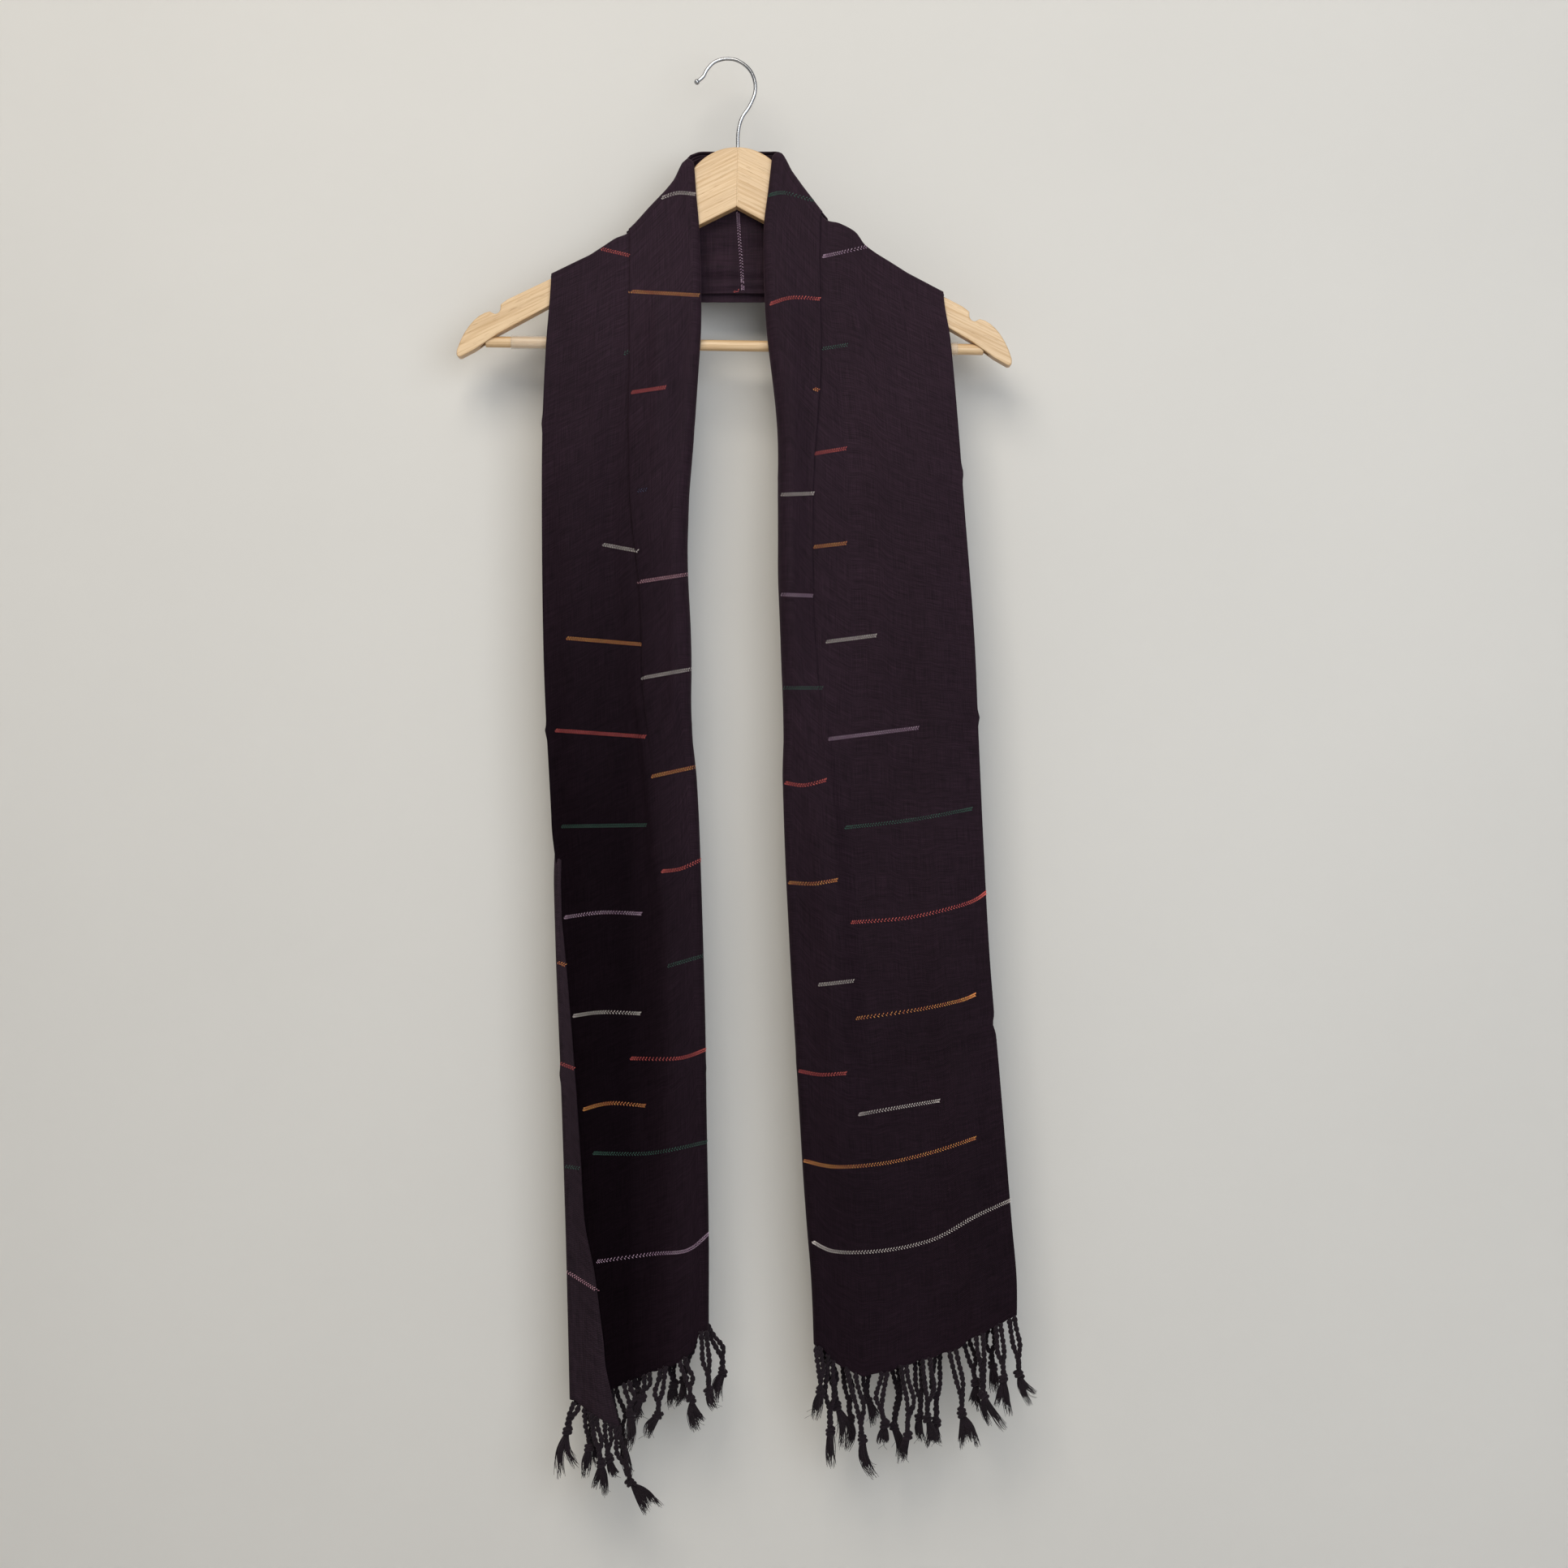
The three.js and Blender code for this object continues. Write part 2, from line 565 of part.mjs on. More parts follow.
function foldRise(end, f, z) {
  let rise = 0;
  for (const fold of end.folds) {
    const t = (z - fold.from) / (fold.to - fold.from);
    if (t <= 0) continue;
    const at = lerp(fold.at, fold.atEnd, Math.min(1, t));
    const away = Math.min(1, Math.abs(f - at) / fold.wide);
    rise += fold.rise * smoothstep(t, 0, 0.3) * (1 - smoothstep(away, 0, 1));
  }
  return rise;
}

function frontDepth(end, f, z) {
  const flat = lerp(end.back(z), end.front(z), 0.62 + 0.38 * smoothstep(f, 0, 0.22));
  return flat - foldRise(end, f, z) * smoothstep(-z, 190, 300);
}

// A rounded corner, fuller than a circle's: how far out and how far down it has come at a turn
// between 0 and a quarter circle, both from 0 to 1.
function corner(turn) {
  const fullness = 0.7;
  return { out: Math.sin(turn) ** fullness, down: 1 - Math.cos(turn) ** fullness };
}

// The x at height z of a share f across an end, from its outer edge to where its fold begins.
const acrossEnd = (end, f, z) =>
  lerp(end.outer(z), end.inner(z) + end.side * (tuck(z) + foldRadius(end, z)), f);

// Where a share f across an end lies on the arm: its x and its height depend on each other.
function ridge(end, f) {
  let x = lerp(end.topOuter, end.topInner, f);
  let z = crossing(end, x);
  for (let settle = 0; settle < 4; settle++) {
    x = acrossEnd(end, f, z);
    z = crossing(end, x);
  }
  return { x, z };
}

// A point of the front or the back layer: f runs across from the outer edge, v down.
function layerPoint(end, isFront, f, v) {
  const { x: ridgeX, z: ridgeZ } = ridge(end, f);
  const top = ridgeZ - (isFront ? 0 : STACK * lerp(0.88, 1, f) * steep(ridgeX));
  const hemX = lerp(end.outer(MEAN_HEM), end.inner(MEAN_HEM), f);
  const foot = end.hem(hemX) + (isFront ? 0 : 3);
  const turn = (Math.min(v, BEND) / BEND) * (Math.PI / 2);
  const { out, down } = corner(turn);
  const bent = top - BEND_DROP * down;
  const z = v < BEND ? bent : lerp(bent, foot, (v - BEND) / (1 - BEND));
  const flapped = end.side < 0 ? smoothstep(-z, -FLAP_TOP - 120, -FLAP_TOP - 60) : 0;
  const inset = flapped * (isFront ? FLAP_INSET : FLAP_BACK);
  const outer = end.outer(z) - end.side * inset;
  const inner = end.inner(z) + end.side * (tuck(z) + foldRadius(end, z));
  const depth = isFront ? frontDepth(end, f, z) : end.back(z);
  const y = lerp(-SEAM / 2, depth, out);
  return new THREE.Vector3(lerp(outer, inner, f), y, z);
}

function foldRadius(end, z) {
  return (end.back(z) - end.front(z)) / 2;
}

// Shares of the section: the front layer, the fold at the inner edge, the back layer.
const SECTION = { front: 0.62, fold: 0.76 };

function endFace(end) {
  return (u, v) => {
    if (u <= SECTION.front) return layerPoint(end, true, u / SECTION.front, v);
    if (u >= SECTION.fold) {
      return layerPoint(end, false, (1 - u) / (1 - SECTION.fold), v);
    }
    const ahead = layerPoint(end, true, 1, v);
    const behind = layerPoint(end, false, 1, v);
    const middle = ahead.clone().add(behind).multiplyScalar(0.5);
    const half = ahead.clone().sub(behind).multiplyScalar(0.5);
    const turn = ((u - SECTION.front) / (SECTION.fold - SECTION.front)) * Math.PI;
    const out = new THREE.Vector3(-end.side * half.length() * Math.sin(turn), 0, 0);
    return middle.addScaledVector(half, Math.cos(turn)).add(out);
  };
}

const DOWN = [...steps(3, 0, BEND), ...steps(17, BEND, 1).slice(1)];

function endGeometry(end) {
  const across = [
    ...steps(13, 0, SECTION.front),
    ...steps(4, SECTION.front, SECTION.fold).slice(1),
    ...steps(4, SECTION.fold, 1).slice(1),
  ];
  return wall(endFace(end), across, DOWN, () => -CLOTH, () => 0, end.side);
}

// The collar's turned edge in front. q runs from its free edge to where it wraps round the
// neck side; w runs from the arm down to where it fades into the front.
function rollGeometry(end) {
  const face = endFace(end);
  const wrapEnd = lerp(SECTION.front, SECTION.fold, 0.6);
  const share = (w) => {
    const shoulderZ = end.shoulder(end.roll(ROLL.top));
    return (w * (shoulderZ - ROLL.end)) / (shoulderZ - MEAN_HEM);
  };
  const start = (v) => {
    const z = layerPoint(end, true, 0.6, v).z;
    const from = layerPoint(end, true, 0, v).x;
    const to = layerPoint(end, true, 1, v).x;
    return (SECTION.front * (end.roll(z) - from)) / (to - from);
  };
  const rollFace = (q, w) => {
    const v = share(w);
    return face(lerp(start(v), wrapEnd, q), v);
  };
  const low = (q, w) => {
    const z = layerPoint(end, true, 0.8, share(w)).z;
    const hump = Math.pow(Math.sin(Math.PI * (0.05 + q * 0.67)), 0.8);
    return rollGap(z) + rollBulge(z) * hump;
  };
  const high = (q, w) => low(q, w) + ROLL_CLOTH;
  const bent = BEND / share(1);
  const ws = [...steps(3, 0, bent), ...steps(12, bent, 1).slice(1)];
  return wall(rollFace, steps(10), ws, low, high, end.side);
}

const flapHem = through(FLAP_HEM, "x", "z");
const flapEdge = through(FLAP_EDGE, "z", "x");

// The left end's outer layer, turned forward round the left silhouette.
function flapFace(u, v) {
  const end = LEFT;
  const foldStart = FLAP_SECTION.back;
  const foldEnd = FLAP_SECTION.fold;
  const hemShare = Math.max(0, (u - foldEnd) / (1 - foldEnd));
  const hemZ = flapHem(lerp(FLAP_HEM[0].x, FLAP_HEM[FLAP_HEM.length - 1].x, hemShare));
  const z = lerp(FLAP_TOP, hemZ, v);
  const outerX = end.outer(z);
  const backY = end.back(z);
  const frontY = (x) => {
    const left = outerX + FLAP_INSET;
    const right = end.inner(z);
    const f = Math.max(0, (x - left) / (right - left));
    return frontDepth(end, f, z) - FLAP_GAP - CLOTH;
  };
  const startY = frontY(outerX + FLAP_INSET);
  const radius = (backY - startY) / 2;
  const foldX = outerX + Math.min(radius, FLAP_FOLD_REACH);
  if (u <= foldStart) {
    const x = lerp(outerX + FLAP_BACK - SEAM, foldX, u / foldStart);
    return new THREE.Vector3(x, backY, z);
  }
  if (u < foldEnd) {
    const turn = ((u - foldStart) / (foldEnd - foldStart)) * Math.PI;
    const x = foldX - (foldX - outerX) * Math.sin(turn);
    return new THREE.Vector3(x, backY - radius * (1 - Math.cos(turn)), z);
  }
  const edge = Math.max(flapEdge(z), foldX + FLAP_LEAST);
  const x = lerp(foldX, edge, hemShare);
  return new THREE.Vector3(x, frontY(x), z);
}

function flapGeometry() {
  const { back, fold } = FLAP_SECTION;
  const across = [0, ...steps(4, back, fold), ...steps(5, fold, 1).slice(1)];
  return wall(flapFace, across, steps(14), () => -CLOTH, () => 0, -1);
}

// ---- the back of the neck ------------------------------------------------------------------

// 1 behind the block between the two rolls, 0 over the arms.
function neckness(x) {
  const { left, right, ease } = NECK;
  return smoothstep(x, left - ease, left) * (1 - smoothstep(x, right, right + ease));
}

function neckTop(x) {
  const end = x < HANGER.centre ? LEFT : RIGHT;
  const clamped = end.side < 0 ? Math.min(x, end.topInner) : Math.max(x, end.topInner);
  return lerp(crossing(end, clamped), NECK.top, neckness(x));
}

// A layer behind the arms and the block, from the arms' top edges down. depth is how far its
// outer face stands behind the hanger's middle plane.
function neckFace(depth, fall, lowerEdge) {
  return (u, v) => {
    const x = lerp(NECK.leftEnd, NECK.rightEnd, u);
    const start = lerp(SEAM / 2, depth - NECK.lip, neckness(x));
    const top = neckTop(x) - fall * steep(x);
    const foot = Math.min(lowerEdge, top - NECK.least);
    const drop = Math.min(BEND_DROP, 0.4 * (top - foot));
    const turn = (Math.min(v, NECK.bend) / NECK.bend) * (Math.PI / 2);
    const { out, down } = corner(turn);
    const bent = top - drop * down;
    const z = v < NECK.bend ? bent : lerp(bent, foot, (v - NECK.bend) / (1 - NECK.bend));
    return new THREE.Vector3(x, lerp(start, depth, out), z);
  };
}

const outerNeck = neckFace(NECK.outerDepth, 0, NECK.lower);
const innerNeck = neckFace(NECK.innerDepth, STACK - CLOTH, NECK.lower + NECK.step);
const NECK_ROWS = [0, 0.05, 0.1, NECK.bend, 0.4, 0.7, 1];
const COLLAR_ROWS = [0, 0.1, 0.2, 0.35, 0.55, 0.78, 1];

// Columns from one x to another, closer together where the cloth leaves the arms for the block.
function neckColumns(from, to, onLeft, onRight) {
  const { left, right, ease } = NECK;
  const xs = [
    ...steps(onLeft, from, left - ease),
    ...steps(3, left - ease, left).slice(1),
    ...steps(4, left, right).slice(1),
    ...steps(3, right, right + ease).slice(1),
    ...steps(onRight, right + ease, to).slice(1),
  ];
  return xs.map((x) => (x - from) / (to - from));
}

function neckLayer(face) {
  const columns = neckColumns(NECK.leftEnd, NECK.rightEnd, 12, 12);
  return wall(face, columns, NECK_ROWS, () => -CLOTH, () => 0, 1);
}

// The turned collar behind the neck, from roll to roll, puffed out between its two edges.
function collarGeometry() {
  const from = LEFT.roll(ROLL.top);
  const to = RIGHT.roll(ROLL.top);
  const face = (u, v) => {
    const x = lerp(from, to, u);
    const across = (x - NECK.leftEnd) / (NECK.rightEnd - NECK.leftEnd);
    const edge = Math.min(NECK.collarEdge, neckTop(x) - 10);
    const foot = Math.min(NECK.lower, neckTop(x) - NECK.least);
    const reach = Math.min(1, (neckTop(x) - edge) / (neckTop(x) - foot));
    return outerNeck(across, v * reach);
  };
  const puff = (u, v) => Math.sin(Math.PI * v) * Math.sin(Math.PI * lerp(0.06, 0.94, u));
  const low = (u, v) => COLLAR_LIFT.edge + COLLAR_LIFT.middle * puff(u, v);
  const high = (u, v) => low(u, v) + ROLL_CLOTH;
  const columns = neckColumns(from, to, 6, 4);
  return wall(face, columns, COLLAR_ROWS, low, high, 1);
}

// ---- fringe --------------------------------------------------------------------------------

// A strand through points, with a radius at each and three sides.
function strand(points, radii) {
  const sides = 3;
  const rings = [];
  points.forEach((point, i) => {
    const before = points[Math.max(0, i - 1)];
    const after = points[Math.min(points.length - 1, i + 1)];
    const along = after.clone().sub(before).normalize();
    const right = new THREE.Vector3(0, -1, 0).cross(along).normalize();
    const ahead = along.clone().cross(right);
    for (let k = 0; k < sides; k++) {
      const turn = (k / sides) * 2 * Math.PI;
      const out = right.clone().multiplyScalar(Math.cos(turn)).addScaledVector(ahead, Math.sin(turn));
      rings.push(point.clone().addScaledVector(out, radii[i]));
    }
  });
  const faces = [];
  for (let ring = 0; ring < points.length - 1; ring++) {
    for (let k = 0; k < sides; k++) {
      const a = ring * sides + k;
      const b = ring * sides + ((k + 1) % sides);
      faces.push([a, b, b + sides], [a, b + sides, a + sides]);
    }
  }
  const last = (points.length - 1) * sides;
  faces.push([0, 2, 1], [last, last + 1, last + 2]);
  return closed(rings, faces);
}

// One hem's fringe: a narrow strip under the hem and the tassels rooted in it. line gives the
// hem's height and depth at x.
function fringeGeometry(line, from, to, tassels) {
  const { cord, knot, tuft, tip, gap, strip, halfStrip, lane, part, joinSide, joinUp } = FRINGE;
  const face = (u, v) => {
    const x = lerp(from, to, u);
    const { y, z } = line(x);
    return new THREE.Vector3(x, y, z - gap - strip * v);
  };
  const count = Math.max(5, Math.round((to - from) / 12));
  let solid = toSolid(wall(face, steps(count), [0, 1], () => -halfStrip, () => halfStrip, -1));
  tassels.forEach((tassel, index) => {
    const offset = index % 2 ? lane : -lane;
    const at = (x, y, z) => new THREE.Vector3(x, y, z);
    for (const half of [-1, 1]) {
      const rootX = tassel.root + (half * tassel.spread) / 2;
      const hem = line(rootX);
      const rootZ = hem.z - gap - strip * 0.6;
      const bowX = lerp(rootX, tassel.knotX, 0.5) + tassel.bow + half * part;
      const midZ = lerp(rootZ, tassel.knotZ, 0.5);
      const y = hem.y + offset;
      const turned = at(lerp(rootX, bowX, 0.45), y, lerp(rootZ, midZ, 0.4));
      const cords = [at(rootX, hem.y, rootZ), turned, at(bowX, y, midZ)];
      if (half < 0) {
        const tuftX = lerp(tassel.knotX, tassel.tipX, 0.5);
        const tuftZ = lerp(tassel.knotZ, tassel.tipZ, 0.55);
        cords.push(at(tassel.knotX, y, tassel.knotZ), at(tuftX, y, tuftZ));
        cords.push(at(tassel.tipX, y, tassel.tipZ));
        solid = solid.add(toSolid(strand(cords, [cord, cord, cord, knot, tuft, tip])));
      } else {
        cords.push(at(lerp(bowX, tassel.knotX + joinSide, 0.75), y, tassel.knotZ + joinUp));
        solid = solid.add(toSolid(strand(cords, [cord, cord, cord, cord * 0.7])));
      }
    }
  });
  return toGeometry(solid);
}

// The hem line of a hanging end's front or back layer, at the middle of its wall.
function hemLine(end, isFront) {
  return (x) => {
    const outer = layerPoint(end, isFront, 0, 1).x;
    const inner = layerPoint(end, isFront, 1, 1).x;
    const f = THREE.MathUtils.clamp((x - outer) / (inner - outer), 0, 1);
    const point = layerPoint(end, isFront, f, 1);
    return { y: point.y + (isFront ? CLOTH / 2 : -CLOTH / 2), z: point.z };
  };
}

function flapHemLine(x) {
  const z = flapHem(x);
  const left = LEFT.outer(z) + FLAP_INSET;
  const f = Math.max(0, (x - left) / (LEFT.inner(z) - left));
  return { y: frontDepth(LEFT, f, z) - FLAP_GAP - CLOTH / 2, z };
}

// ---- assembly ------------------------------------------------------------------------------

addPiece("hanger_arm_left", armGeometry(-1), BEECH);
addPiece("hanger_arm_right", armGeometry(1), BEECH);
addPiece("hanger_bar", barGeometry(), BEECH);
addPiece("bar_sleeve_left", sleeveGeometry(-1), CLEAR_SLEEVE);
addPiece("bar_sleeve_right", sleeveGeometry(1), CLEAR_SLEEVE);
addPiece("hanger_hook", hookGeometry(), STEEL);

addPiece("stole_end_left", endGeometry(LEFT), TWILL);
addPiece("stole_end_right", endGeometry(RIGHT), TWILL);
addPiece("collar_roll_left", rollGeometry(LEFT), TWILL);
addPiece("collar_roll_right", rollGeometry(RIGHT), TWILL);
addPiece("turned_flap_left", flapGeometry(), TWILL_REVERSE);
addPiece("neck_back_outer", neckLayer(outerNeck), TWILL);
addPiece("neck_back_inner", neckLayer(innerNeck), TWILL);
addPiece("collar_back", collarGeometry(), TWILL);

const fringes = [
  ["fringe_right_front", hemLine(RIGHT, true), 70.5, 228, RIGHT_FRONT_TASSELS],
  ["fringe_right_back", hemLine(RIGHT, false), 74, 226, RIGHT_BACK_TASSELS],
  ["fringe_left_flap", flapHemLine, -123, -85, FLAP_TASSELS],
  ["fringe_left_front", hemLine(LEFT, true), -84, -16, LEFT_FRONT_TASSELS],
  ["fringe_left_back", hemLine(LEFT, false), -116, -17, LEFT_BACK_TASSELS],
];
for (const [name, line, from, to, tassels] of fringes) {
  addPiece(name, fringeGeometry(line, from, to, tassels), TWILL);
}

export default root;
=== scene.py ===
"""A handwoven stole, folded to a band and hung like a shawl collar on a wooden hanger.

Metres, +Z up, +X to the viewer's right along the hanger, -Y towards the viewer. The tables of
sizes are in millimetres, as a maker would measure them, and MM turns them to metres.
"""

import logging
import math
import random
from bisect import bisect_right
from dataclasses import dataclass, field
from enum import Enum
from typing import Callable, NamedTuple, Sequence

import bmesh
import bpy
import numpy as np
from mathutils import Matrix, Vector
from mathutils.bvhtree import BVHTree


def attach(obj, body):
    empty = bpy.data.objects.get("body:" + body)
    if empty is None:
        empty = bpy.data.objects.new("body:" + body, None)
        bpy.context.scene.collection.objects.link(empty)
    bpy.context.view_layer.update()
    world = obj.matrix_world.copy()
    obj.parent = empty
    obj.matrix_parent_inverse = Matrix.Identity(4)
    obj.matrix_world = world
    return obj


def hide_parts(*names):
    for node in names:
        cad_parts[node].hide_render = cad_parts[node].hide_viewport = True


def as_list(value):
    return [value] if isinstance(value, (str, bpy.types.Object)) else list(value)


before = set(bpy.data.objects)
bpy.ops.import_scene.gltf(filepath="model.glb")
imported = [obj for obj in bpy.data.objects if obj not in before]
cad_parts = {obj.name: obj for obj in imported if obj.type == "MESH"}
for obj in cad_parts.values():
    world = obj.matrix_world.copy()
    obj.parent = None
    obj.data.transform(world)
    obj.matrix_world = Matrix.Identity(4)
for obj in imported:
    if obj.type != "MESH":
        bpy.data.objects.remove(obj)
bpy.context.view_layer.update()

LOG = logging.getLogger("stole")
MM = 0.001
BODY = "root"

Face = Callable[[float, float], Vector]


class Slot(Enum):
    """The record's material slots."""

    BEECH = "beech_wood"
    SLEEVE = "clear_sleeve"
    STEEL = "steel_wire"
    TWILL = "twill_face"
    REVERSE = "twill_reverse"
    YARN = "fringe_yarn"
    STRIPE = "stripe_thread"


# ---- driving sizes ----------------------------------------------------------------------------

SEAM = 0.3
MEAN_HEM = -1045.0
CLOTH = 1.1
ROLL_CLOTH = 1.3
COLLAR_GAP = 0.5
BEND = 0.03
BEND_DROP = 3.2
STACK = 2.9
ARM_CLEAR = 0.8


class Section(NamedTuple):
    """One height of a hanging end: its silhouettes, the roll's free edge, and its two depths."""

    z: float
    outer: float
    inner: float
    roll: float
    front: float
    back: float


class Spot(NamedTuple):
    """A point of an outline seen from the front."""

    x: float
    z: float


class Fold(NamedTuple):
    """A soft lengthwise fold: where it starts and ends, its place and half width as shares."""

    start: float
    end: float
    at: float
    at_end: float
    wide: float
    rise: float


class Tassel(NamedTuple):
    """Two cords from the hem, knotted above a tuft."""

    root: float
    spread: float
    bow: float
    knot_x: float
    knot_z: float
    tip_x: float
    tip_z: float


LEFT_OUTLINE = (
    Section(-76, -141, -28.6, -80, -10.6, -7.2),
    Section(-108, -141, -26.2, -80, -10.6, -7.2),
    Section(-135, -141, -24.2, -80, -10.6, -7.2),
    Section(-177, -141, -23.2, -79.5, -10.6, -7.2),
    Section(-230, -145, -23.2, -77.5, -11.5, -7.2),
    Section(-300, -147.8, -27.3, -76, -14, -7.2),
    Section(-380, -148, -34, -73, -16, -7),
    Section(-460, -147, -30, -70, -17, -6.5),
    Section(-520, -145, -28, -67, -18, -6),
    Section(-615, -140, -23, -58, -19, -5.5),
    Section(-720, -137, -20, -50, -19, -5),
    Section(-820, -133, -17.5, -50, -19, -5),
    Section(-930, -129.5, -15.5, -50, -19, -5),
    Section(-1030, -127, -15, -50, -18.5, -5),
    Section(-1095, -125.5, -15, -50, -18, -5),
)
RIGHT_OUTLINE = (
    Section(-76, 172.5, 37, 78, -10.6, -7.2),
    Section(-108, 172.5, 33.2, 78, -10.6, -7.2),
    Section(-135, 172.5, 30.4, 78, -10.6, -7.2),
    Section(-190, 172.5, 31.4, 74.5, -10.6, -7.2),
    Section(-225, 177.8, 33.4, 73.5, -11.5, -7.2),
    Section(-300, 184.5, 41, 70, -14, -7.2),
    Section(-355, 188.5, 41.5, 68.5, -16, -7),
    Section(-460, 196.5, 42.3, 68.5, -17, -6.5),
    Section(-540, 200, 43.5, 75, -18, -6),
    Section(-620, 203.5, 45.5, 84, -19, -5.5),
    Section(-720, 209, 50.5, 90, -19.5, -5),
    Section(-820, 217.5, 56.5, 90, -19.5, -5),
    Section(-930, 226.5, 63.5, 90, -19, -5),
    Section(-980, 230.5, 67, 90, -19, -5),
    Section(-1050, 229, 69.5, 90, -18.5, -5),
)
LEFT_SHOULDER = (
    Spot(-141, -176.0),
    Spot(-122, -164.3),
    Spot(-91, -144.2),
    Spot(-75.5, -132.5),
    Spot(-60, -115.5),
    Spot(-44, -98.6),
    Spot(-28.6, -81.1),
    Spot(-20, -75.9),
)
RIGHT_SHOULDER = (
    Spot(32, -75.2),
    Spot(39.7, -79.1),
    Spot(47.5, -88.2),
    Spot(63, -107.7),
    Spot(78.7, -125.3),
    Spot(102, -138.3),
    Spot(110, -149.0),
    Spot(133, -164.3),
    Spot(173, -189.5),
)
LEFT_HEM = (
    Spot(-126, -1077),
    Spot(-105, -1069),
    Spot(-86, -1060),
    Spot(-63, -1050),
    Spot(-32, -1038),
    Spot(-21, -1030),
    Spot(-15, -1016),
)
RIGHT_HEM = (
    Spot(69.5, -1028),
    Spot(76, -1037),
    Spot(89, -1045),
    Spot(106, -1050),
    Spot(139, -1042),
    Spot(178, -1031),
    Spot(194, -1020),
    Spot(213, -1011),
    Spot(229, -1003),
)
ARM_TOP = (
    Spot(0, -70.7),
    Spot(20, -75.6),
    Spot(33.8, -87.1),
    Spot(52, -110),
    Spot(72, -133.5),
    Spot(92, -150.5),
    Spot(110, -159.5),
    Spot(130, -169.4),
    Spot(150.9, -179.8),
    Spot(182.2, -195.4),
)
LEFT_FOLDS = (
    Fold(-170, -640, 0.5, 0.62, 0.16, -2.0),
    Fold(-560, -1090, 0.82, 0.78, 0.24, 5.0),
    Fold(-640, -1090, 0.52, 0.42, 0.2, -3.0),
    Fold(-260, -900, 0.22, 0.2, 0.2, 2.0),
)
RIGHT_FOLDS = (
    Fold(-170, -600, 0.6, 0.66, 0.14, -2.0),
    Fold(-500, -1080, 0.82, 0.72, 0.26, 5.5),
    Fold(-560, -1060, 0.48, 0.42, 0.22, -3.0),
    Fold(-260, -1040, 0.25, 0.18, 0.2, 2.5),
)
RIGHT_FRONT_TASSELS = (
    Tassel(72, 3, 1, 74, -1062, 70, -1081),
    Tassel(82, 4, -1, 82, -1094, 83, -1121),
    Tassel(98, 7, 2, 107, -1099, 115, -1126),
    Tassel(125, 4, -5, 125, -1088, 124, -1103),
    Tassel(140, 4, 3, 143, -1097, 141, -1113),
    Tassel(158, 6, 2, 159, -1085, 164, -1105),
    Tassel(179, 5, 3, 186, -1079, 192, -1104),
    Tassel(200, 5, 1, 203, -1065, 218, -1089),
    Tassel(215, 4, 1, 219, -1052, 223, -1078),
    Tassel(226, 4, 2, 232, -1050, 240, -1072),
)
RIGHT_BACK_TASSELS = (
    Tassel(77, 4, 1, 87, -1076, 91, -1107),
    Tassel(93, 4, 1, 98, -1088, 96, -1110),
    Tassel(111, 4, -2, 112, -1072, 116, -1090),
    Tassel(133, 4, 4, 133, -1094, 138, -1119),
    Tassel(151, 4, 2, 153, -1085, 156, -1103),
    Tassel(168, 4, -1, 167, -1090, 166, -1106),
    Tassel(190, 4, 1, 198, -1058, 201, -1078),
    Tassel(210, 4, -1, 212, -1046, 213, -1064),
)
FLAP_TASSELS = (
    Tassel(-120, 4, -2, -127, -1094, -133, -1127),
    Tassel(-112, 4, 1, -110, -1108, -113, -1129),
    Tassel(-106, 4, 0, -100, -1118, -98, -1141),
    Tassel(-95, 4, -1, -94, -1115, -89, -1130),
    Tassel(-88, 3, -1, -77, -1134, -59, -1155),
)
LEFT_FRONT_TASSELS = (
    Tassel(-80, 4, 1, -77, -1080, -79, -1107),
    Tassel(-64, 4, 1, -68, -1068, -74, -1086),
    Tassel(-51, 4, -1, -55, -1080, -63, -1095),
    Tassel(-36, 4, 2, -29, -1068, -22, -1089),
    Tassel(-19, 4, 1, -15, -1061, -10, -1074),
)
LEFT_BACK_TASSELS = (
    Tassel(-112, 4, 1, -108, -1104, -105, -1122),
    Tassel(-92, 4, 2, -84, -1108, -79, -1130),
    Tassel(-71, 4, -1, -72, -1066, -70, -1084),
    Tassel(-45, 4, -1, -43, -1060, -46, -1076),
    Tassel(-28, 4, -1, -35, -1056, -40, -1074),
    Tassel(-18, 3, 5, -4, -1050, -8, -1071),
)


# ---- small maths ------------------------------------------------------------------------------


def lerp(start: float, end: float, share: float) -> float:
    """Returns the value a share of the way from start to end."""
    return start + (end - start) * share


def smoothstep(value: float, low: float, high: float) -> float:
    """Returns 0 below low, 1 above high, and a smooth rise between them."""
    share = min(1.0, max(0.0, (value - low) / (high - low)))
    return share * share * (3 - 2 * share)


def steps(count: int, start: float = 0.0, end: float = 1.0) -> list[float]:
    """Returns count + 1 even values from start to end."""
    return [lerp(start, end, i / count) for i in range(count + 1)]


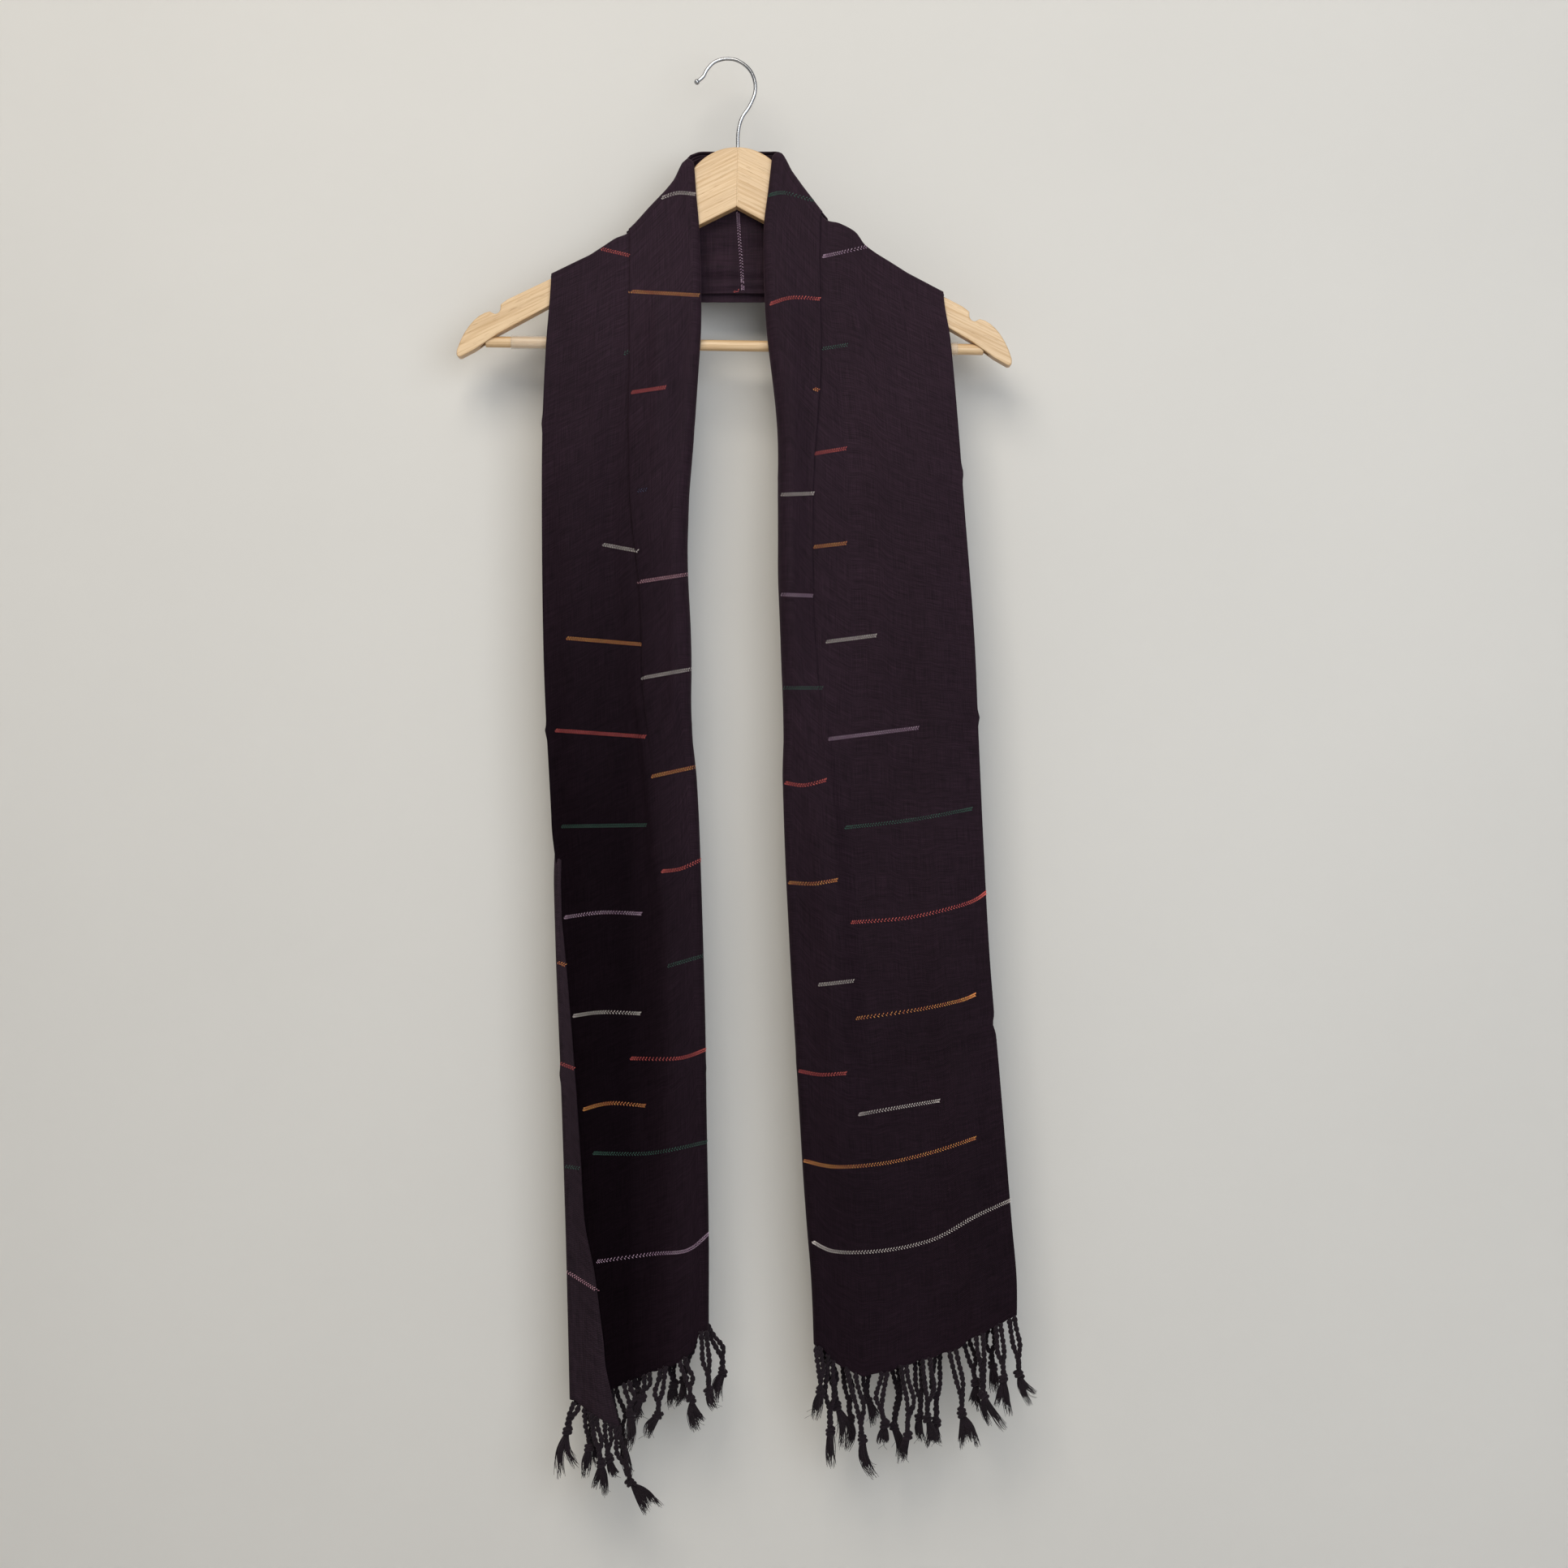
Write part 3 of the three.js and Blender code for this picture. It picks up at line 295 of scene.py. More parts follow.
class Profile:
    """A smooth curve through two named columns of a table."""

    def __init__(self, rows: Sequence[NamedTuple], key: str, value: str) -> None:
        """Sorts the table and works out its slopes.

        Args:
            rows: the table.
            key: the column that is looked up.
            value: the column that is given back.
        """
        table = sorted(rows, key=lambda row: getattr(row, key))
        self.keys = [float(getattr(row, key)) for row in table]
        self.values = [float(getattr(row, value)) for row in table]
        last = len(table) - 1
        self.slopes = []
        for i in range(len(table)):
            low, high = max(0, i - 1), min(last, i + 1)
            rise = self.values[high] - self.values[low]
            self.slopes.append(rise / (self.keys[high] - self.keys[low]))

    def __call__(self, at: float) -> float:
        """Returns the curve's value at a key."""
        if at <= self.keys[0]:
            return self.values[0]
        if at >= self.keys[-1]:
            return self.values[-1]
        i = bisect_right(self.keys, at) - 1
        span = self.keys[i + 1] - self.keys[i]
        t = (at - self.keys[i]) / span
        rise = self.values[i + 1] - self.values[i]
        bend_in = self.slopes[i] * span - rise
        bend_out = rise - self.slopes[i + 1] * span
        return self.values[i] + t * rise + t * (1 - t) * ((1 - t) * bend_in + t * bend_out)


def corner(turn: float) -> tuple[float, float]:
    """Returns how far out and how far down a full rounded corner has come at a turn."""
    fullness = 0.7
    return math.sin(turn) ** fullness, 1 - max(0.0, math.cos(turn)) ** fullness


def lifted(face: Face, u: float, v: float, lift: float, sign: int) -> Vector:
    """Returns a point of a face moved out along its normal.

    Args:
        face: the face, from its two shares to a point in millimetres.
        u: the share across.
        v: the share down.
        lift: how far out, in millimetres.
        sign: 1 or -1, which turns the normal outwards.
    """
    reach = 1e-3
    across = face(min(1.0, u + reach), v) - face(max(0.0, u - reach), v)
    down = face(u, min(1.0, v + reach)) - face(u, max(0.0, v - reach))
    normal = across.cross(down).normalized() * sign
    return face(u, v) + normal * lift


# ---- the hand of the cloth: creases that packing, folding and hanging leave --------------------


@dataclass(frozen=True)
class Crease:
    """A soft ridge, or a trough where its rise is negative, along a line seen from the front."""

    x0: float
    z0: float
    x1: float
    z1: float
    rise: float
    width: float
    ripple: float = 0.3

    def lift(self, x: float, z: float) -> float:
        """Returns how far this crease lifts the cloth at a place, in millimetres."""
        dx, dz = self.x1 - self.x0, self.z1 - self.z0
        length = math.hypot(dx, dz)
        away = ((x - self.x0) * dz - (z - self.z0) * dx) / length
        if abs(away) > 3.2 * self.width:
            return 0.0
        along = ((x - self.x0) * dx + (z - self.z0) * dz) / length**2
        ends = smoothstep(along, -0.06, 0.16) * (1 - smoothstep(along, 0.8, 1.06))
        uneven = 1 + self.ripple * math.sin(7.3 * along + 0.31 * self.x0)
        wander = 0.35 * self.width * math.sin(4.1 * along + 0.17 * self.z0)
        t = abs(away + wander) / self.width
        return self.rise * ends * uneven * math.exp(-(t**1.5))


LEFT_CREASES = (
    Crease(-150, -287, -60, -292, 0.9, 3.2),
    Crease(-120, -293, -20, -291, -0.6, 5.0),
    Crease(-152, -536, -70, -541, 0.9, 3.0),
    Crease(-90, -818, -8, -806, 1.0, 3.4),
    Crease(-88, -824, -10, -813, -0.7, 4.5),
    Crease(-135, -350, -96, -470, 1.3, 11.0),
    Crease(-128, -600, -84, -760, 1.1, 13.0),
    Crease(-118, -176, -86, -262, 1.2, 8.0),
    Crease(-136, -196, -112, -300, -1.0, 9.0),
    Crease(-112, -880, -70, -1000, 0.9, 12.0),
    Crease(-52, -860, -30, -1020, -1.1, 9.0),
    Crease(-104, -1000, -98, -1070, -1.0, 7.0),
    Crease(-58, -985, -54, -1060, 1.0, 8.0),
    Crease(-34, -960, -26, -1040, 0.9, 6.0),
    Crease(-88, -170, -84, -520, -2.0, 9.0),
    Crease(-80, -540, -66, -860, -1.8, 9.0),
    Crease(-46, -600, -38, -880, 1.5, 9.0),
)
RIGHT_CREASES = (
    Crease(200, -330, 66, -344, 0.8, 3.0),
    Crease(212, -525, 70, -534, 0.9, 3.2),
    Crease(226, -768, 88, -808, 1.2, 3.4),
    Crease(92, -807, 52, -806, 1.1, 3.2),
    Crease(222, -778, 96, -815, -0.8, 4.5),
    Crease(86, -150, 104, -240, 1.4, 7.0),
    Crease(96, -150, 118, -262, -1.3, 8.0),
    Crease(120, -176, 128, -330, 0.9, 9.0),
    Crease(164, -215, 172, -400, 0.9, 10.0),
    Crease(150, -420, 138, -610, -0.9, 14.0),
    Crease(186, -560, 196, -740, 1.1, 11.0),
    Crease(118, -620, 132, -790, 1.0, 13.0),
    Crease(206, -800, 214, -960, -1.2, 9.0),
    Crease(150, -860, 168, -1020, 1.2, 12.0),
    Crease(104, -900, 112, -1040, -1.0, 9.0),
    Crease(84, -960, 88, -1040, 1.0, 7.0),
    Crease(190, -950, 200, -1015, 1.1, 6.0),
    Crease(84, -250, 82, -500, -1.6, 8.0),
    Crease(96, -600, 108, -900, -1.8, 11.0),
    Crease(68, -600, 78, -900, 1.8, 10.0),
)
LEFT_ROLL_CREASES = (
    Crease(-62, -150, -60, -430, 2.6, 8.0),
    Crease(-42, -215, -48, -400, -1.9, 6.0),
    Crease(-35, -380, -40, -560, 0.8, 6.0),
    Crease(-54, -190, -46, -590, 4.0, 9.0),
    Crease(-50, -400, -54, -590, -1.3, 6.0),
)
RIGHT_ROLL_CREASES = (
    Crease(55, -150, 54, -500, 4.4, 7.0),
    Crease(69, -190, 63, -440, -1.8, 5.0),
    Crease(58, -420, 62, -600, 2.6, 7.0),
    Crease(72, -430, 77, -600, -1.3, 5.0),
)
BACK_CREASES = (
    Crease(-150, -291, -20, -287, 0.9, 3.4),
    Crease(-150, -540, -20, -533, 0.9, 3.4),
    Crease(-150, -808, -10, -815, 1.0, 3.4),
    Crease(-120, -330, -96, -520, -1.2, 11.0),
    Crease(-60, -420, -44, -640, 1.3, 12.0),
    Crease(-100, -640, -84, -900, 1.2, 13.0),
    Crease(-40, -820, -34, -1030, -1.1, 9.0),
    Crease(200, -334, 34, -338, 0.9, 3.4),
    Crease(212, -530, 44, -528, 0.9, 3.4),
    Crease(226, -790, 54, -796, 1.0, 3.4),
    Crease(80, -300, 96, -500, -1.2, 11.0),
    Crease(150, -380, 138, -640, 1.3, 13.0),
    Crease(110, -640, 128, -900, -1.1, 12.0),
    Crease(186, -700, 200, -960, 1.2, 11.0),
    Crease(90, -860, 96, -1030, 1.0, 9.0),
)


class Nick(NamedTuple):
    """A small step that a packing crease leaves in a silhouette."""

    z: float
    deep: float
    tall: float


LEFT_NICKS = (Nick(-292, 0.8, 5.0), Nick(-538, 1.3, 4.0), Nick(-812, 0.9, 5.0))
RIGHT_NICKS = (Nick(-332, 1.1, 5.0), Nick(-527, 1.4, 4.0), Nick(-771, -1.8, 5.0))


def drift(x: float, z: float) -> float:
    """Returns the slow unevenness of hung cloth at a place, in millimetres."""
    slow = math.sin(z / 43.0 + x / 71.0) * math.sin(x / 29.0 - z / 118.0 + 0.7)
    fine = math.sin(z / 17.0 - x / 37.0 + 1.3) * math.sin(x / 15.0 + z / 61.0)
    return 0.42 * slow + 0.14 * fine


# ---- the hanging ends -------------------------------------------------------------------------

CENTRE_X = 7.8
TILT = math.radians(0.9)
arm_top = Profile(ARM_TOP, "x", "z")


def arm_edge(x: float) -> float:
    """Returns the height of the hanger's upper edge at x."""
    sag = arm_top(abs(x - CENTRE_X)) - arm_top(0)
    out = x - CENTRE_X - sag * math.sin(TILT)
    return arm_top(abs(out)) - out * math.sin(TILT)


def steep(x: float) -> float:
    """Returns the height that one millimetre of thickness takes on the arm's slope at x."""
    reach = 3.0
    return math.hypot(1, (arm_edge(x + reach) - arm_edge(x - reach)) / (2 * reach))


@dataclass(frozen=True)
class RollForm:
    """The collar's turned edge: how far it bulges over the front, and where it fades out."""

    top: float = -120.0
    bulge: float = 4.5
    ridge_bulge: float = 0.5
    ridge_gap: float = 0.9
    fade_from: float = -420.0
    end: float = -604.0
    wrap: float = 0.75

    def full(self, z: float) -> float:
        """Returns the bulge at its fullest at height z."""
        full = lerp(self.ridge_bulge, self.bulge, smoothstep(-z, 130, 260))
        return full * (1 - smoothstep(-z, -self.fade_from, -self.end))

    def gap(self, z: float) -> float:
        """Returns the air under the roll at height z; at its foot it sinks into the front."""
        air = lerp(self.ridge_gap, COLLAR_GAP, smoothstep(-z, 150, 260))
        return lerp(air, -ROLL_CLOTH - 0.6, smoothstep(-z, 500, 596))

    def tuck(self, z: float) -> float:
        """Returns how far the roll pushes the end beneath it in from the silhouette."""
        return max(0.0, self.gap(z) + ROLL_CLOTH + self.wrap * self.full(z))


@dataclass(frozen=True)
class NeckFold:
    """The fold at the neck side, which bulges over a higher part of the arm."""

    start: float = 4.0
    reach: float = 4.5
    fade: float = 9.0


ROLL = RollForm()
NECK_FOLD = NeckFold()
FLAP_TOP = -520.0
FLAP_BACK = 9.0
FLAP_INSET = 3.6
FLAP_GAP = 0.9
SECTION_FRONT = 0.62
SECTION_FOLD = 0.76


def flap_shown(z: float) -> float:
    """Returns 0 where the turned flap lies inside the left end and 1 where it lies in front."""
    return smoothstep(-z, 612, 662)


@dataclass
class HangingEnd:
    """One hanging end of the band: a front layer, a fold at the neck side, a back layer."""

    side: int
    outline: Sequence[Section]
    shoulder_line: Sequence[Spot]
    hem_line: Sequence[Spot]
    folds: Sequence[Fold]
    creases: Sequence[Crease]
    roll_creases: Sequence[Crease]
    nicks: Sequence[Nick]
    roots: Sequence[float]
    back_roots: Sequence[float]
    outer_curve: Profile = field(init=False)
    inner: Profile = field(init=False)
    roll: Profile = field(init=False)
    front: Profile = field(init=False)
    back: Profile = field(init=False)
    shoulder: Profile = field(init=False)
    hem: Profile = field(init=False)
    ridges: dict[float, tuple[float, float]] = field(default_factory=dict)

    def __post_init__(self) -> None:
        """Turns the tables into curves."""
        self.outer_curve = Profile(self.outline, "z", "outer")
        self.inner = Profile(self.outline, "z", "inner")
        self.roll = Profile(self.outline, "z", "roll")
        self.front = Profile(self.outline, "z", "front")
        self.back = Profile(self.outline, "z", "back")
        self.shoulder = Profile(self.shoulder_line, "x", "z")
        self.hem = Profile(self.hem_line, "x", "z")

    def outer(self, z: float) -> float:
        """Returns the outer silhouette at height z, with the steps of the packing creases."""
        nicks = sum(n.deep * math.exp(-(((z - n.z) / n.tall) ** 2)) for n in self.nicks)
        return self.outer_curve(z) + self.side * nicks

    def crossing(self, x: float) -> float:
        """Returns the height at which the band crosses the arm at x."""
        roll_edge = self.roll(ROLL.top)
        under_roll = 1 - smoothstep(self.side * (x - roll_edge), -2, 12)
        stack = ROLL.ridge_gap + ROLL_CLOTH + ROLL.ridge_bulge
        seen = self.shoulder(x) - under_roll * stack * steep(x)
        from_fold = self.side * (x - self.outline[0].inner) - NECK_FOLD.start
        share = 1 - smoothstep(from_fold, 0, NECK_FOLD.fade)
        inward = self.side * NECK_FOLD.reach * share
        return max(seen, arm_edge(x - inward) + (ARM_CLEAR + STACK) * steep(x))

    def across(self, f: float, z: float) -> float:
        """Returns the x at height z of a share from the outer edge to where the fold begins."""
        inner = self.inner(z) + self.side * (ROLL.tuck(z) + self.fold_radius(z))
        return lerp(self.outer_curve(z), inner, f)

    def ridge(self, f: float) -> tuple[float, float]:
        """Returns where a share across lies on the arm: its x and its height."""
        if f not in self.ridges:
            x = lerp(self.outline[0].outer, self.outline[0].inner, f)
            z = self.crossing(x)
            for _ in range(4):
                x = self.across(f, z)
                z = self.crossing(x)
            self.ridges[f] = (x, z)
        return self.ridges[f]

    def lapel(self, x: float, z: float) -> float:
        """Returns how far the soft fold that carries on below the roll lifts the front."""
        fade = smoothstep(-z, 450, 590) * (1 - smoothstep(-z, 760, 1010))
        if not fade:
            return 0.0
        flank = lerp(2.5, 13.0, smoothstep(-z, 570, 760))
        inward = self.side * (self.roll(z) - x)
        return 3.8 * fade * smoothstep(inward, -flank, flank) * (1 - smoothstep(inward, 14, 44))

    def fold_rise(self, f: float, z: float) -> float:
        """Returns how far the lengthwise folds lift the front at a share across and a height."""
        rise = 0.0
        for fold in self.folds:
            t = (z - fold.start) / (fold.end - fold.start)
            if t <= 0:
                continue
            at = lerp(fold.at, fold.at_end, min(1.0, t))
            away = min(1.0, abs(f - at) / fold.wide)
            rise += fold.rise * smoothstep(t, 0, 0.3) * (1 - smoothstep(away, 0, 1))
        return rise

    def front_depth(self, f: float, z: float) -> float:
        """Returns how far the front face stands from the hanger's middle plane."""
        share = 0.62 + 0.38 * smoothstep(f, 0, 0.22)
        flat = lerp(self.back(z), self.front(z), share)
        x = lerp(self.outer_curve(z), self.inner(z), f)
        relief = drift(x, z) + sum(crease.lift(x, z) for crease in self.creases)
        relief += self.lapel(x, z)
        folds = self.fold_rise(f, z) * smoothstep(-z, 190, 300)
        return flat - folds - relief * smoothstep(-z, 140, 215)

    def back_depth(self, f: float, z: float) -> float:
        """Returns how far the back face stands from the hanger's middle plane."""
        x = lerp(self.outer_curve(z), self.inner(z), f)
        relief = drift(x + 90, z) + sum(crease.lift(x, z) for crease in BACK_CREASES)
        return self.back(z) + relief * smoothstep(-z, 250, 330) * smoothstep(f, 0, 0.08)

    def fold_radius(self, z: float) -> float:
        """Returns half the depth of the fold at the neck side."""
        return (self.back(z) - self.front(z)) / 2

    def scallop(self, x: float, front: bool) -> float:
        """Returns how far the hem is drawn up between two cords at x."""
        roots = self.roots if front else self.back_roots
        near = min(abs(x - root) for root in roots)
        return 1.8 * (1 - math.exp(-((near / 4.5) ** 2)))

    def layer_point(self, front: bool, f: float, v: float) -> Vector:
        """Returns a point of the front or the back layer, in millimetres.

        Args:
            front: whether it is the front layer.
            f: the share across, from the outer edge.
            v: the share down, from the arm.
        """
        ridge_x, ridge_z = self.ridge(f)
        top = ridge_z - (0.0 if front else STACK * lerp(0.88, 1, f) * steep(ridge_x))
        hem_x = lerp(self.outer_curve(MEAN_HEM), self.inner(MEAN_HEM), f)
        foot = self.hem(hem_x) + (0.0 if front else 3.0)
        foot += self.scallop(hem_x, front)
        out, down = corner(min(v, BEND) / BEND * math.pi / 2)
        bent = top - BEND_DROP * down
        z = bent if v < BEND else lerp(bent, foot, (v - BEND) / (1 - BEND))
        flapped = flap_shown(z) if self.side < 0 else 0.0
        inset = flapped * (FLAP_INSET if front else FLAP_BACK)
        outer = self.outer(z) - self.side * inset
        inner = self.inner(z) + self.side * (ROLL.tuck(z) + self.fold_radius(z))
        depth = self.front_depth(f, z) if front else self.back_depth(f, z)
        return Vector((lerp(outer, inner, f), lerp(-SEAM / 2, depth, out), z))

    def face(self, u: float, v: float) -> Vector:
        """Returns a point of the end's outer face: front layer, fold, back layer."""
        if u <= SECTION_FRONT:
            return self.layer_point(True, u / SECTION_FRONT, v)
        if u >= SECTION_FOLD:
            return self.layer_point(False, (1 - u) / (1 - SECTION_FOLD), v)
        ahead = self.layer_point(True, 1, v)
        behind = self.layer_point(False, 1, v)
        half = (ahead - behind) / 2
        turn = (u - SECTION_FRONT) / (SECTION_FOLD - SECTION_FRONT) * math.pi
        out = Vector((-self.side * half.length * math.sin(turn), 0, 0))
        return (ahead + behind) / 2 + half * math.cos(turn) + out

    def roll_share(self, w: float) -> float:
        """Returns the share down the end at a share down its collar roll."""
        shoulder = self.shoulder(self.roll(ROLL.top))
        return w * (shoulder - ROLL.end) / (shoulder - MEAN_HEM)

    def roll_start(self, v: float) -> float:
        """Returns the share across at which the roll's free edge lies."""
        z = self.layer_point(True, 0.6, v).z
        start = self.layer_point(True, 0, v).x
        end = self.layer_point(True, 1, v).x
        return SECTION_FRONT * (self.roll(z) - start) / (end - start)

    def roll_face(self, q: float, w: float) -> Vector:
        """Returns a point of the end's face under the roll."""
        v = self.roll_share(w)
        wrap_end = lerp(SECTION_FRONT, SECTION_FOLD, 0.6)
        return self.face(lerp(self.roll_start(v), wrap_end, q), v)

    def roll_lift(self, q: float, w: float) -> float:
        """Returns how far the roll's outer face stands off the end beneath it."""
        z = self.layer_point(True, 0.8, self.roll_share(w)).z
        hump = math.sin(math.pi * (0.05 + q * 0.67)) ** 0.8
        x = self.roll(z) + q * 50
        soft = 0.5 * drift(x * 1.7 + 40, z) * smoothstep(q, 0.05, 0.3) * smoothstep(-z, 200, 300)
        place = lerp(self.roll(z), self.inner(z), q)
        waves = sum(crease.lift(place, z) for crease in self.roll_creases)
        waves *= smoothstep(-z, 140, 200) * smoothstep(q, 0.0, 0.1) * (1 - smoothstep(-z, 520, 596))
        return ROLL.gap(z) + ROLL.full(z) * (hump + 0.3 * soft) + waves + ROLL_CLOTH

    def roll_surface(self, q: float, w: float) -> Vector:
        """Returns a point of the collar roll's outer face."""
        return lifted(self.roll_face, q, w, self.roll_lift(q, w), self.side)


def root_places(tassels: Sequence[Tassel]) -> list[float]:
    """Returns the x of each cord where it leaves the hem."""
    return [t.root + half * t.spread / 2 for t in tassels for half in (-1, 1)]


LEFT = HangingEnd(
    side=-1,
    outline=LEFT_OUTLINE,
    shoulder_line=LEFT_SHOULDER,
    hem_line=LEFT_HEM,
    folds=LEFT_FOLDS,
    creases=LEFT_CREASES,
    roll_creases=LEFT_ROLL_CREASES,
    nicks=LEFT_NICKS,
    roots=root_places(LEFT_FRONT_TASSELS),
    back_roots=root_places(LEFT_BACK_TASSELS),
)
RIGHT = HangingEnd(
    side=1,
    outline=RIGHT_OUTLINE,
    shoulder_line=RIGHT_SHOULDER,
    hem_line=RIGHT_HEM,
    folds=RIGHT_FOLDS,
    creases=RIGHT_CREASES,
    roll_creases=RIGHT_ROLL_CREASES,
    nicks=RIGHT_NICKS,
    roots=root_places(RIGHT_FRONT_TASSELS),
    back_roots=root_places(RIGHT_BACK_TASSELS),
)


class EdgeSpot(NamedTuple):
    """A point of the flap's free edge: its height, then its place across."""

    z: float
    x: float


FLAP_EDGE = (
    EdgeSpot(-520, -141.5),
    EdgeSpot(-640, -138),
    EdgeSpot(-692, -131.5),
    EdgeSpot(-795, -122.7),
    EdgeSpot(-876, -117),
    EdgeSpot(-930, -113.5),
    EdgeSpot(-966, -106),
    EdgeSpot(-1020, -98.5),
    EdgeSpot(-1045, -96),
    EdgeSpot(-1095, -84),
)
FLAP_HEM = (
    Spot(-126, -1072),
    Spot(-120, -1074),
    Spot(-104, -1083),
    Spot(-94, -1088),
    Spot(-84, -1092),
)


@dataclass
class TurnedFlap:
    """The left end's outer layer, turned forward round the silhouette so its reverse shows."""

    end: HangingEnd
    back_share: float = 0.22
    fold_share: float = 0.42
    fold_reach: float = 4.5
    least: float = 1.5
    hem: Profile = field(init=False)
    edge: Profile = field(init=False)
    roots: list[float] = field(init=False)

    def __post_init__(self) -> None:
        """Turns the tables into curves."""
        self.hem = Profile(FLAP_HEM, "x", "z")
        self.edge = Profile(FLAP_EDGE, "z", "x")
        self.roots = root_places(FLAP_TASSELS)

    def front_y(self, x: float, z: float) -> float:
        """Returns the depth of the flap's face over the front layer."""
        left = self.end.outer(z) + FLAP_INSET
        f = max(0.0, (x - left) / (self.end.inner(z) - left))
        return self.end.front_depth(f, z) + lerp(CLOTH + 0.8, -FLAP_GAP - CLOTH, flap_shown(z))

    def hem_z(self, x: float) -> float:
        """Returns the height of the flap's hem at x, drawn up between its cords."""
        near = min(abs(x - root) for root in self.roots)
        return self.hem(x) + 2.2 * (1 - math.exp(-((near / 3.5) ** 2)))

    def face(self, u: float, v: float) -> Vector:
        """Returns a point of the flap: its part behind the silhouette, its fold, its front."""
        hem_share = max(0.0, (u - self.fold_share) / (1 - self.fold_share))
        hem_x = lerp(FLAP_HEM[0].x, FLAP_HEM[-1].x, hem_share)
        z = lerp(FLAP_TOP, self.hem_z(hem_x), v)
        hidden = 1 - flap_shown(z)
        outer = self.end.outer(z) + 2.4 * hidden
        back_y = self.end.back(z) - (CLOTH + 0.8) * hidden
        radius = (back_y - self.front_y(outer + FLAP_INSET, z)) / 2
        fold_x = outer + min(radius, self.fold_reach)
        if u <= self.back_share:
            x = lerp(outer + FLAP_BACK - SEAM, fold_x, u / self.back_share)
            return Vector((x, back_y, z))
        if u < self.fold_share:
            turn = (u - self.back_share) / (self.fold_share - self.back_share) * math.pi
            x = fold_x - (fold_x - outer) * math.sin(turn)
            return Vector((x, back_y - radius * (1 - math.cos(turn)), z))
        edge = max(self.edge(z), fold_x + self.least)
        x = lerp(fold_x, edge, hem_share)
        return Vector((x, self.front_y(x, z), z))


# ---- the back of the neck ---------------------------------------------------------------------


@dataclass
class NeckBack:
    """The band behind the arms: an inner and an outer layer and the collar turned over them."""

    left: float = -21.0
    right: float = 35.0
    ease: float = 12.0
    top: float = -73.5
    lip: float = 1.4
    least: float = 8.0
    bend: float = 0.16
    outer_depth: float = 10.0
    inner_depth: float = 8.1
    lower: float = -192.0
    step: float = 6.0
    collar_edge: float = -133.0
    left_end: float = -141.0
    right_end: float = 172.5
    collar_lift: float = 1.5
    collar_puff: float = 2.6

    def between(self, x: float) -> float:
        """Returns 1 behind the block between the two rolls and 0 over the arms."""
        rise = smoothstep(x, self.left - self.ease, self.left)
        return rise * (1 - smoothstep(x, self.right, self.right + self.ease))

    def crest(self, x: float) -> float:
        """Returns the height of the band's upper edge at x."""
        end = LEFT if x < CENTRE_X else RIGHT
        limit = end.outline[0].inner
        clamped = min(x, limit) if end.side < 0 else max(x, limit)
        return lerp(end.crossing(clamped), self.top, self.between(x))

    def wrinkles(self, x: float, z: float) -> float:
        """Returns how far the inner layer puckers towards the viewer under the block."""
        open_part = smoothstep(-z, 120, 134) * self.between(x)
        sway = 2.2 * math.sin(x / 17.0)
        ridges = (
            (-136.0 - 0.4 * sway, 4.5, 1.6),
            (-151.0 + sway, 4.0, -1.7),
            (-166.0 - 0.6 * sway, 6.0, 4.4),
            (-179.0 + 0.4 * sway, 2.6, 2.4),
            (-186.0 + 0.2 * sway, 1.7, 2.1),
        )
        lift = sum(rise * math.exp(-(((z - at) / tall) ** 2)) for at, tall, rise in ridges)
        return open_part * (lift + 0.5 * math.sin(x / 9.0 + z / 14.0))

    def layer(self, depth: float, fall: float, lower: float, puckered: bool) -> Face:
        """Returns the outer face of a layer behind the arms and the block.

        Args:
            depth: how far it stands behind the hanger's middle plane.
            fall: how far its upper edge lies under the band's.
            lower: the height of its lower edge.
            puckered: whether it has the wrinkles that show under the block.
        """

        def face(u: float, v: float) -> Vector:
            """Returns a point of the layer."""
            x = lerp(self.left_end, self.right_end, u)
            start = lerp(SEAM / 2, depth - self.lip, self.between(x))
            top = self.crest(x) - fall * steep(x)
            foot = min(lower, top - self.least)
            drop = min(BEND_DROP, 0.4 * (top - foot))
            out, down = corner(min(v, self.bend) / self.bend * math.pi / 2)
            bent = top - drop * down
            z = bent if v < self.bend else lerp(bent, foot, (v - self.bend) / (1 - self.bend))
            y = lerp(start, depth, out)
            if puckered:
                y -= self.wrinkles(x, z)
            return Vector((x, y, z))

        return face

    def outer_face(self) -> Face:
        """Returns the outer layer's face."""
        return self.layer(self.outer_depth, 0.0, self.lower, False)

    def inner_face(self) -> Face:
        """Returns the inner layer's face."""
        return self.layer(self.inner_depth, STACK - CLOTH, self.lower + self.step, True)

    def collar_face(self) -> Face:
        """Returns the face of the collar turned down behind the neck."""
        start, end = LEFT.roll(ROLL.top), RIGHT.roll(ROLL.top)
        outer = self.outer_face()

        def under(u: float, v: float) -> Vector:
            """Returns a point of the outer layer under the collar."""
            x = lerp(start, end, u)
            across = (x - self.left_end) / (self.right_end - self.left_end)
            crest = self.crest(x)
            edge = min(self.collar_edge, crest - 10)
            foot = min(self.lower, crest - self.least)
            return outer(across, v * min(1.0, (crest - edge) / (crest - foot)))

        def face(u: float, v: float) -> Vector:
            """Returns a point of the collar."""
            puff = math.sin(math.pi * v) * math.sin(math.pi * lerp(0.06, 0.94, u))
            sway = 0.5 * math.sin(9 * u + 3 * v) * math.sin(math.pi * u) * v
            lift = self.collar_lift + self.collar_puff * puff + sway + ROLL_CLOTH
            return lifted(under, u, v, lift, 1)

        return face


# ---- finishes ---------------------------------------------------------------------------------


